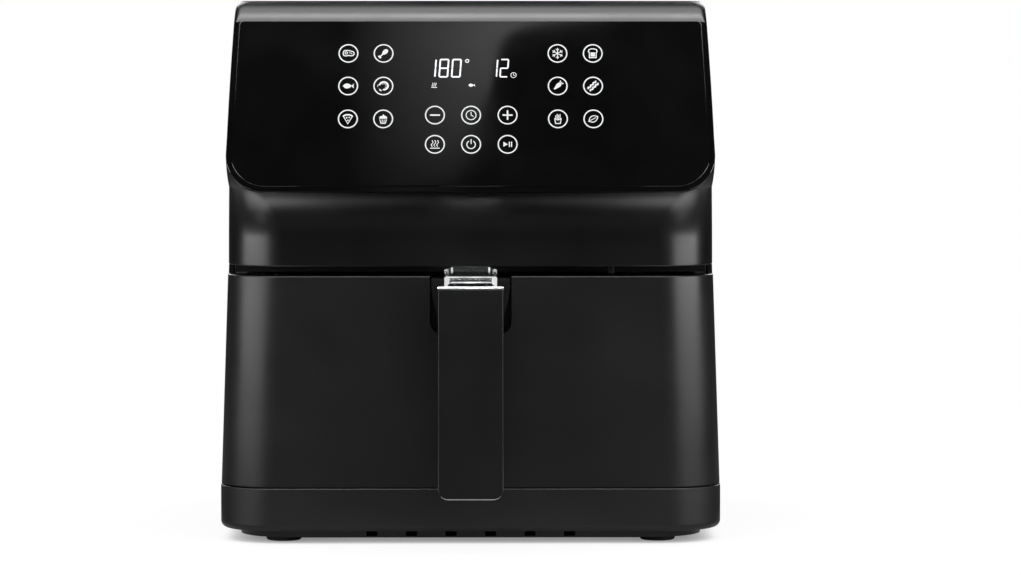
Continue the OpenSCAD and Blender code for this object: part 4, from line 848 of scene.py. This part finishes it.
class Print:
    """Collects strokes and filled shapes, then makes one thin piece on the panel's face."""

    def __init__(self):
        self.points, self.faces = [], []

    def add(self, points, faces):
        start = len(self.points)
        self.points += points
        self.faces += [tuple(start + i for i in face) for face in faces]

    def stroke(self, points, width=GLYPH_STROKE, closed=False):
        """A line of even width with round ends."""
        left, right = ribbon(points, width, closed)
        n = len(points)
        last = n if closed else n - 1
        self.add(left + right, [(i, (i + 1) % n, n + (i + 1) % n, n + i) for i in range(last)])
        if not closed:
            for (x, y), (nx, ny) in ((points[0], points[1]), (points[-1], points[-2])):
                turn = degrees(atan2(y - ny, x - nx)) - 90
                self.fill(arc(x, y, width / 2, width / 2, turn, 180, 8))

    def curve(self, points, width=GLYPH_STROKE, closed=False):
        self.stroke(smooth_line(points, closed=closed), width, closed)

    def fill(self, outline):
        self.add(list(outline), [tuple(range(len(outline)))])

    def circle(self, x, y, r, width=GLYPH_STROKE, steps=48):
        self.stroke(arc(x, y, r, r, 0, 360, steps)[:-1], width, closed=True)

    def dot(self, x, y, r):
        self.fill(arc(x, y, r, r, 0, 360, 20)[:-1])

    def glyph(self, x, s, draw, turn=0, scale=1):
        """Places a drawing, turned and scaled, at a key's middle."""
        part = Print()
        draw(part)
        c, n = polar(turn, scale)
        self.add([(x + px * c - py * n, s + px * n + py * c) for px, py in part.points], part.faces)

    def make(self, name):
        front = [on_panel(x, s, -PRINT_DEPTH) for x, s in self.points]
        return new_piece(name, front, self.faces)


def smooth_line(points, steps=6, closed=False):
    """A smooth curve through points."""
    n = len(points)
    out = []
    for i in range(n if closed else n - 1):
        p = [points[(i + k) % n] if closed else points[min(max(i + k, 0), n - 1)] for k in (-1, 0, 1, 2)]
        for j in range(steps):
            t = j / steps
            out.append(tuple(0.5 * (2 * p[1][k] + (p[2][k] - p[0][k]) * t
                                    + (2 * p[0][k] - 5 * p[1][k] + 4 * p[2][k] - p[3][k]) * t * t
                                    + (3 * p[1][k] - p[0][k] - 3 * p[2][k] + p[3][k]) * t ** 3)
                             for k in (0, 1)))
    return out if closed else out + [points[-1]]


# Pictures on the keys, each drawn into a Print


def steak(p):
    edge = [(-3.1, 0.4), (-2.4, 1.7), (-0.6, 1.9), (1.4, 1.5), (3, 0.9), (3.3, -0.5), (2.2, -1.5),
            (0.2, -1.3), (-1.6, -1.6), (-2.9, -1)]
    p.curve(edge, closed=True)
    p.circle(-1.3, 0.3, 0.75, 0.5, 20)
    p.curve([(0.6, 0.5), (1.5, 0.2), (2.1, -0.4)], 0.45)


def drumstick(p):
    meat = [(-0.9, -0.5), (-0.5, 1.2), (0.9, 2.6), (2.4, 2.4), (2.6, 0.9), (1.2, -0.5), (-0.4, -0.9)]
    p.fill(smooth_line(meat, closed=True))
    p.stroke([(-0.8, -0.8), (-2.1, -2.1)], 0.8)
    p.dot(-2.6, -1.9, 0.62)
    p.dot(-1.9, -2.6, 0.62)


def fish(p):
    top = smooth_line([(-3.2, 0), (-1.5, 1.5), (0.6, 1.3), (2.2, 0)])
    p.fill(top + [(x, -y) for x, y in reversed(top[1:-1])])
    p.fill([(1.7, 0), (3.5, 1.5), (3.1, 0), (3.5, -1.5)])


def shrimp(p):
    back = arc(0.2, 0.1, 2.5, 2.4, 160, -250, 26)
    p.stroke(back, 1.15)
    for a in (120, 80, 40, 0, -40):
        p.stroke([polar(a, 1.2, 0.2, 0.1), polar(a, 1.7, 0.2, 0.1)], 0.35)
    p.fill([(-0.9, -2.6), (-2.6, -1.6), (-2.2, -2.9), (-1.2, -3.4)])
    p.curve([(-2.3, 1.1), (-3.2, 0.6), (-3.4, -0.4)], 0.35)


def pizza(p):
    p.curve([(-2.6, 1.7), (-1.2, 2.5), (1.2, 2.5), (2.6, 1.7)], 0.95)
    p.stroke([(-2.4, 1.2), (0, -3.1), (2.4, 1.2)], 0.55)
    for x, y in ((-0.7, 0.7), (0.8, 0.9), (0.1, -0.9)):
        p.dot(x, y, 0.48)


def cupcake(p):
    icing = [(-2.3, 0.1), (-2, 1.5), (-0.5, 2), (0, 2.9), (0.9, 2), (2.1, 1.4), (2.3, 0.1)]
    p.fill(smooth_line(icing))
    p.stroke([(-1.9, -0.5), (-1.3, -2.8), (1.3, -2.8), (1.9, -0.5)], 0.55)
    for x in (-0.6, 0.6):
        p.stroke([(x, -0.5), (x * 0.8, -2.6)], 0.4)


def snowflake(p):
    for a in range(90, 450, 60):
        p.stroke([(0, 0), polar(a, 3.3)], 0.5)
        for side in (-1, 1):
            p.stroke([polar(a, 1.8), polar(a + side * 42, 1.2, *polar(a, 1.8))], 0.42)


def bread(p):
    edge = [(-2, -2.7), (-2, 0.5), (-2.6, 1.2), (-2.2, 2.4), (-0.8, 2.9), (0.8, 2.9), (2.2, 2.4),
            (2.6, 1.2), (2, 0.5), (2, -2.7)]
    p.stroke(edge, 0.6, closed=True)
    p.fill([(-1.3, 0.6), (1.3, 0.6), (1.3, -2), (-1.3, -2)])


def carrot(p):
    root = [(-3.2, 0), (-0.4, 1.1), (1.6, 1.2), (2, 0), (1.6, -1.2), (-0.4, -1.1)]
    p.fill(smooth_line(root, closed=True))
    for y in (-1, 0, 1):
        p.stroke([(2, y * 0.4), (3.5, y * 1.2)], 0.5)


def bacon(p):
    for y in (-0.95, 0.95):
        p.curve([(-3.2 + i * 0.64, y + 0.38 * sin(i * 1.9)) for i in range(11)], 0.95)


def fries(p):
    p.stroke([(-1.9, 0.2), (-1.4, -2.9), (1.4, -2.9), (1.9, 0.2)], 0.6)
    p.curve([(-1.9, 0.2), (0, -0.7), (1.9, 0.2)], 0.5)
    for x, top in ((-1.3, 2), (-0.45, 2.9), (0.45, 2.3), (1.3, 2.8)):
        p.stroke([(x * 0.9, 0.1 - 0.35), (x, top)], 0.5)


def leaf(p):
    upper = smooth_line([(-3, 0), (-1.2, 1.7), (1.2, 1.6), (3, 0)])
    p.stroke(upper + [(x, -y) for x, y in reversed(upper[1:-1])], 0.55, closed=True)
    p.stroke([(-3.4, 0), (1.6, 0)], 0.42)


def minus(p):
    p.stroke([(-2.6, 0), (2.6, 0)], 0.95)


def plus(p):
    minus(p)
    p.stroke([(0, -2.6), (0, 2.6)], 0.95)


def clock(p):
    p.circle(0, 0, 2.9, 0.55)
    p.stroke([(0, 1.8), (0, 0), (1.3, -0.8)], 0.5)


def steam(p):
    for x in (-1.6, 0, 1.6):
        p.curve([(x, -1.3), (x - 0.5, -0.3), (x + 0.5, 1.2), (x, 2.4)], 0.5)
    p.stroke([(-2.6, -2.4), (2.6, -2.4)], 0.6)


def power(p):
    p.stroke(arc(0, -0.2, 2.5, 2.5, 125, 290, 30), 0.6)
    p.stroke([(0, 0.4), (0, 3)], 0.6)


def play(p):
    p.fill([(-2.5, -1.6), (-2.5, 1.6), (0.1, 0)])
    for x in (1, 2.3):
        p.stroke([(x, -1.4), (x, 1.4)], 0.65)


# Segments of a numeral: a to f clockwise from the top, g in the middle
SEGMENTS = {"0": "abcdef", "1": "bc", "2": "abged", "8": "abcdefg"}
NUMERAL_H, NUMERAL_LEAN = 11, 0.07


def draw_digit(p, digit, x, s, w, stroke):
    """A leaning seven-segment numeral from its lower left corner."""
    def at(u, v):
        return (x + u * w + v * NUMERAL_H * NUMERAL_LEAN, s + v * NUMERAL_H)
    gap = 0.09
    lines = {
        "a": (at(gap, 1), at(1 - gap, 1)), "b": (at(1, 1 - gap / 2), at(1, 0.5 + gap / 2)),
        "c": (at(1, 0.5 - gap / 2), at(1, gap / 2)), "d": (at(gap, 0), at(1 - gap, 0)),
        "e": (at(0, 0.5 - gap / 2), at(0, gap / 2)), "f": (at(0, 1 - gap / 2), at(0, 0.5 + gap / 2)),
        "g": (at(gap, 0.5), at(1 - gap, 0.5)),
    }
    for key in SEGMENTS[digit]:
        p.stroke(list(lines[key]), stroke)


# Each block of keys: middles across and up the slope, then its drawings row by row
KEYS = (
    (LEFT_X, KEY_S, (steak, drumstick, fish, shrimp, pizza, cupcake)),
    (RIGHT_X, KEY_S, (snowflake, bread, carrot, bacon, fries, leaf)),
    (MIDDLE_X, MIDDLE_S, (minus, clock, plus, steam, power, play)),
)
KEY_TURNS = {carrot: 45, bacon: 45, leaf: 30}


def make_keys():
    keys = Print()
    for across, up, drawings in KEYS:
        for i, draw in enumerate(drawings):
            x, s = across[i % len(across)], up[i // len(across)]
            keys.circle(x, s, KEY_R - KEY_STROKE / 2, KEY_STROKE, 64)
            keys.glyph(x, s, draw, KEY_TURNS.get(draw, 0))
    return keys.make("panel_keys")


def make_display():
    """A plain temperature and a time, with small generic marks under them."""
    lit = Print()
    low, marks = 68.9, 63.6
    for i, digit in enumerate("180"):
        draw_digit(lit, digit, -26 + i * 7.4, low, 4.9, 0.95)
    lit.circle(-2, 79, 0.95, 0.5, 20)
    for i, digit in enumerate("12"):
        draw_digit(lit, digit, 11 + i * 6.4, low, 4.3, 0.85)
    lit.glyph(25.4, 70, clock, 0, 0.55)
    lit.glyph(-21.5, marks, steam, 0, 0.6)
    lit.glyph(0.6, marks, fish, 0, 0.6)
    return lit.make("panel_display")


# ---- Assembly ----

# How each piece is made, its body, the node it stands for, its slot and its finishes if they differ
NEW_PIECES = [
    (make_hood, "housing", "hood_shell", "shell_black"),
    (make_body, "housing", "body_shell", "shell_black"),
    (make_base, "housing", "base_tray", "tray_black"),
    (make_skirt, "housing", "base_tray", "tray_black", "skirt_black"),
    (make_panel, "housing", "control_panel", "panel_black"),
    (make_drawer_face, "drawer", "drawer_front", "drawer_black"),
    (make_neck, "drawer", "handle_neck", "grip_black"),
    (make_lip, "drawer", "handle_trim", "chrome_trim"),
    (make_trim_plate, "drawer", "handle_trim", "chrome_trim"),
    (make_cover, "drawer", "handle_cover", "grip_black"),
    (make_guard, "guard", "button_guard", "clear_guard", "clear_guard", "clear_edge"),
    (make_guard_rim, "guard", "button_guard", "clear_guard", "clear_edge"),
    (make_button, "button", "release_button", "dark_plastic"),
    (make_spring, "drawer", "latch_spring", "spring_steel"),
]

# Edge radius of nodes that keep their own shape
CAD_EDGE = 0.3
CAD_EDGES = {
    "handle_grip": 0.7, "rubber_feet": 0.8, "outlet_grille": 0.35, "cord_gland": 0.5,
    "outer_basket": 0.15, "inner_basket": 0.15, "drawer_frame": 0.4, "cooking_chamber": 0.25,
    "hot_air_fan": 0.15, "cooling_fan": 0.2, "heating_element": 0.2,
}


def finish_piece(piece, body, node, slot_name, *finishes):
    piece.data.materials.clear()
    for finish in finishes or (slot_name,):
        piece.data.materials.append(MATERIALS[finish])
    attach(piece, body)
    if node:
        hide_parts(node)


def dress_node(node, piece):
    """Gives a node that keeps its shape a better material and rounded, evenly shaded edges."""
    for place in piece.material_slots:
        place.material = MATERIALS[place.material.name.split(".")[0]]
    set_all(piece.modifiers.new("weld", "WELD"), merge_threshold=0.01 * MM)
    set_all(piece.modifiers.new("flat", "DECIMATE"), decimate_type="DISSOLVE",
            angle_limit=radians(0.4))
    bevel(piece, CAD_EDGES.get(node, CAD_EDGE), 38, segments=2)
    weigh_normals(piece, False)
    piece.data.polygons.foreach_set("use_smooth", [True] * len(piece.data.polygons))


MATERIALS = all_materials()
replaced = set()
for make, body, node, *finishes in NEW_PIECES:
    finish_piece(make(), body, node, *finishes)
    replaced.add(node)
finish_piece(make_keys(), "housing", None, "display_white", "panel_print")
finish_piece(make_display(), "housing", None, "display_white", "panel_light")
for node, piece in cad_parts.items():
    if node not in replaced:
        dress_node(node, piece)

# ---- Stage, lights and camera ----

# Tone of the floor in reflections, by distance from the middle in metres
FLOOR_TONES = ((0.13, 0.60), (0.19, 0.60), (0.21, 0.06), (0.30, 0.06),
               (0.42, 0.18), (0.65, 0.18), (0.85, 0.08), (1.8, 0.04))
FLOOR_TONES_R = 2
WHITE_FROM, WHITE_TO = 0.20, 0.50
# The floor's painted shadow: the reach of its ambient occlusion, its glow where that finds the object close
# and out in the open, and the margins of the shade under the body
SHADE_REACH, SHADE_DARK, SHADE_GLOW = 0.03, 0.22, 0.86
UNDER_BODY_SHADOW_FROM, UNDER_BODY_SHADOW_TO = 0.026, 0.022

# Lamps on the floor, on both sides: place across and along, size across and along, radiance, beam
FLOOR_LAMPS = {
    "low": (0.32, -0.19, 0.42, 0.10, 1.1, 90),
    "inner": (0.08, -0.19, 0.06, 0.10, 0.08, 90),
    "floor": (0.28, -0.02, 0.24, 0.24, 1.4, 110),
    "apron": (0.50, -0.36, 0.44, 0.34, 2.6, 120),
}
FLOOR_LAMP_Z = 0.004
LAMP_TARGET = (0, -0.05, 0.16)
GLARE_TILT = ((1, 0, 0, 0), (0, 0.684, -0.729, -1.302), (0, 0.729, 0.684, 1.357), (0, 0, 0, 1))
CAMERA_PLACE, CAMERA_DOWN, CAMERA_ASIDE = (0, -2.732, 0.300), 3.242, 0.52
FOCAL_PX, PHOTO_W_PX, SENSOR_W = 4397, 1021, 36


def math_node(operation, first, second):
    node = add_node(first.id_data, "Math", operation=operation)
    link(first, node.inputs[0])
    link(second, node.inputs[1])
    return node.outputs[0]


def vector_math(operation, first, second=(0, 0, 0)):
    node = add_node(first.id_data, "VectorMath", operation=operation)
    link(first, node.inputs[0])
    node.inputs[1].default_value = second
    return node.outputs["Value" if operation == "LENGTH" else "Vector"]


def seen_directly(tree):
    """1 for camera rays and for those that come through clear parts."""
    paths = add_node(tree, "LightPath")
    return math_node("MAXIMUM", paths.outputs["Is Camera Ray"], paths.outputs["Is Transmission Ray"])


def mix_shaders(share, first, second):
    mix = add_node(share.id_data, "MixShader")
    for output, socket in zip((share, first, second), mix.inputs):
        link(output, socket)
    return mix.outputs[0]


def under_body_shadow_mask(place):
    """Painted shadow under the body: 0 on the floor deep under it, 1 from just behind its skirt."""
    r = (SKIRT_CORNER_R - SKIRT_INSET) * MM
    half_x = (BASE_W / 2 - SKIRT_INSET) * MM
    half_y = ((BACK_Y - FRONT_Y) / 2 - SKIRT_INSET) * MM
    across = vector_math("SUBTRACT", place, (0, (FRONT_Y + BACK_Y) / 2 * MM, 0))
    beyond = vector_math("SUBTRACT", vector_math("ABSOLUTE", across), (half_x - r, half_y - r, 0))
    away = vector_math("LENGTH", vector_math("MAXIMUM", beyond))
    return spread(away, 0, 1, r - UNDER_BODY_SHADOW_FROM, r - UNDER_BODY_SHADOW_TO)


def make_floor():
    """A pale floor that keeps the object's shadow, partly real in its faint diffuse part and partly
    painted: near the object its glow fades with ambient occlusion and is off under the body. It turns into
    the white backdrop further out.
    """
    half = 9000
    floor = new_piece("floor", [(-half, -half, 0), (half, -half, 0), (half, half, 0), (-half, half, 0)],
                      [(0, 1, 2, 3)])
    made, tree, shader = new_material("floor", {"Roughness": 0.9, "Specular IOR Level": 0})
    place = own_place(tree)
    away = vector_math("LENGTH", place)
    stops = [(r / FLOOR_TONES_R, (tone, tone, tone)) for r, tone in FLOOR_TONES]
    link(ramp(spread(away, 0, 1, 0, FLOOR_TONES_R), stops), shader.inputs["Base Color"])
    seen = add_node(tree, "BsdfDiffuse")
    stops = [(0.3, (0.19, 0.19, 0.19)), (0.7, (0.21, 0.21, 0.21))]
    link(ramp(noise(tree, 3, 2), stops), seen.inputs["Color"])
    # Painted shadow: the glow that makes the floor pale fades with ambient occlusion and is off under the
    # body.
    contact_shade = add_node(tree, "AmbientOcclusion", {"Distance": SHADE_REACH}, samples=12)
    glow = add_node(tree, "Emission")
    link(spread(contact_shade.outputs["AO"], SHADE_DARK, SHADE_GLOW, 0, 0.40), glow.inputs["Strength"])
    link(under_body_shadow_mask(place), glow.inputs["Color"])
    both = add_node(tree, "AddShader")
    link(seen.outputs[0], both.inputs[0])
    link(glow.outputs[0], both.inputs[1])
    far = spread(away, 0, 1, WHITE_FROM, WHITE_TO)
    backdrop = mix_shaders(far, both.outputs[0], add_node(tree, "Emission").outputs[0])
    mixed = mix_shaders(seen_directly(tree), shader.outputs[0], backdrop)
    link(mixed, tree.nodes["Material Output"].inputs["Surface"])
    floor.data.materials.append(made)


def make_world():
    """White to the eye and through clear parts; even soft light; dark walls with a paler top to reflect."""
    world = bpy.data.worlds.new("studio")
    bpy.context.scene.world = world
    world.use_nodes = True
    tree = world.node_tree
    white = tree.nodes["Background"]
    white.inputs["Color"].default_value = (1, 1, 1, 1)
    ambient = add_node(tree, "Background", {"Color": (1.02, 1.02, 1.02, 1)})
    walls = add_node(tree, "Background")
    parts = add_node(tree, "SeparateXYZ")
    link(add_node(tree, "TexCoord").outputs["Generated"], parts.inputs[0])
    stops = [(0, (0.012, 0.012, 0.012)), (0.80, (0.02, 0.02, 0.02)), (1, (0.40, 0.40, 0.405))]
    link(ramp(parts.outputs["Z"], stops), walls.inputs["Color"])
    diffuse = add_node(tree, "LightPath").outputs["Is Diffuse Ray"]
    inner = mix_shaders(diffuse, walls.outputs[0], ambient.outputs[0])
    outer = mix_shaders(seen_directly(tree), inner, white.outputs[0])
    link(outer, tree.nodes["World Output"].inputs["Surface"])


def softbox(name, place, target, width, height, radiance, beam=180):
    """A lit panel that shows only in reflections; its radiance is that of a white wall at 1."""
    data = set_all(bpy.data.lights.new(name, "AREA"), shape="RECTANGLE", size=width, size_y=height,
                   energy=radiance * pi * width * height, spread=radians(beam))
    aim = (Vector(target) - Vector(place)).to_track_quat("-Z", "Y").to_euler()
    set_all(new_object(name, data), location=place, rotation_euler=aim, visible_camera=False,
            visible_diffuse=False)


def make_lights():
    """Softboxes at the sides draw the corners, those above the crown, those on the floor the cove."""
    for side, name in ((-1, "left"), (1, "right")):
        softbox("side_" + name, (side * 0.84, -0.49, 0.235), (side * 0.13, -0.12, 0.235), 0.85, 0.20, 8.4)
        for kind, (x, y, width, depth, radiance, beam) in FLOOR_LAMPS.items():
            softbox(f"{kind}_{name}", (side * x, y, FLOOR_LAMP_Z), (side * x, y, 1),
                    width, depth, radiance, beam)
        softbox("rear_" + name, (side * 0.9, 2.3, 1.3), LAMP_TARGET, 0.9, 1.6, 5)
    softbox("front_strip", (0, -1.28, 2.21), LAMP_TARGET, 3.2, 0.88, 13.4)
    softbox("top", (0, -0.1, 2.4), LAMP_TARGET, 2.4, 0.9, 4)


def make_glare():
    """A small lit card high in front, whose curved edge shows as the glare on the touch panel."""
    edge = [(150, 85), (92, 78), (54, 73), (32, 62), (25, 42), (19, 14), (9, -17), (1, -39), (-14, -64),
            (-45, -78), (-80, -84)]
    outline = smooth_line(edge) + [(-130, -84), (-130, 85)]
    card = new_piece("glare_card", [(x, y, 0) for x, y in outline], [tuple(range(len(outline)))])
    card.matrix_world = Matrix(GLARE_TILT)
    made, tree, _ = new_material("glare_card")
    parts = add_node(tree, "SeparateXYZ")
    link(own_place(tree), parts.inputs[0])
    across = spread(parts.outputs["X"], 0, 1, -0.12, 0.05)
    up = spread(parts.outputs["Y"], 0.35, 2, -0.085, 0.085)
    glow = add_node(tree, "Emission")
    link(math_node("MULTIPLY", across, up), glow.inputs["Strength"])
    link(glow.outputs[0], tree.nodes["Material Output"].inputs["Surface"])
    card.data.materials.append(made)
    for kind in ("camera", "diffuse", "transmission", "shadow"):
        setattr(card, "visible_" + kind, False)


def make_camera():
    data = set_all(bpy.data.cameras.new("camera"), sensor_width=SENSOR_W, sensor_fit="HORIZONTAL",
                   lens=FOCAL_PX / PHOTO_W_PX * SENSOR_W, clip_end=100)
    camera = set_all(new_object("camera", data), location=CAMERA_PLACE,
                     rotation_euler=(radians(90 - CAMERA_DOWN), 0, radians(-CAMERA_ASIDE)))
    bpy.context.scene.camera = camera


make_floor()
make_world()
make_lights()
make_glare()
make_camera()
bpy.context.scene.view_settings.view_transform = "Standard"
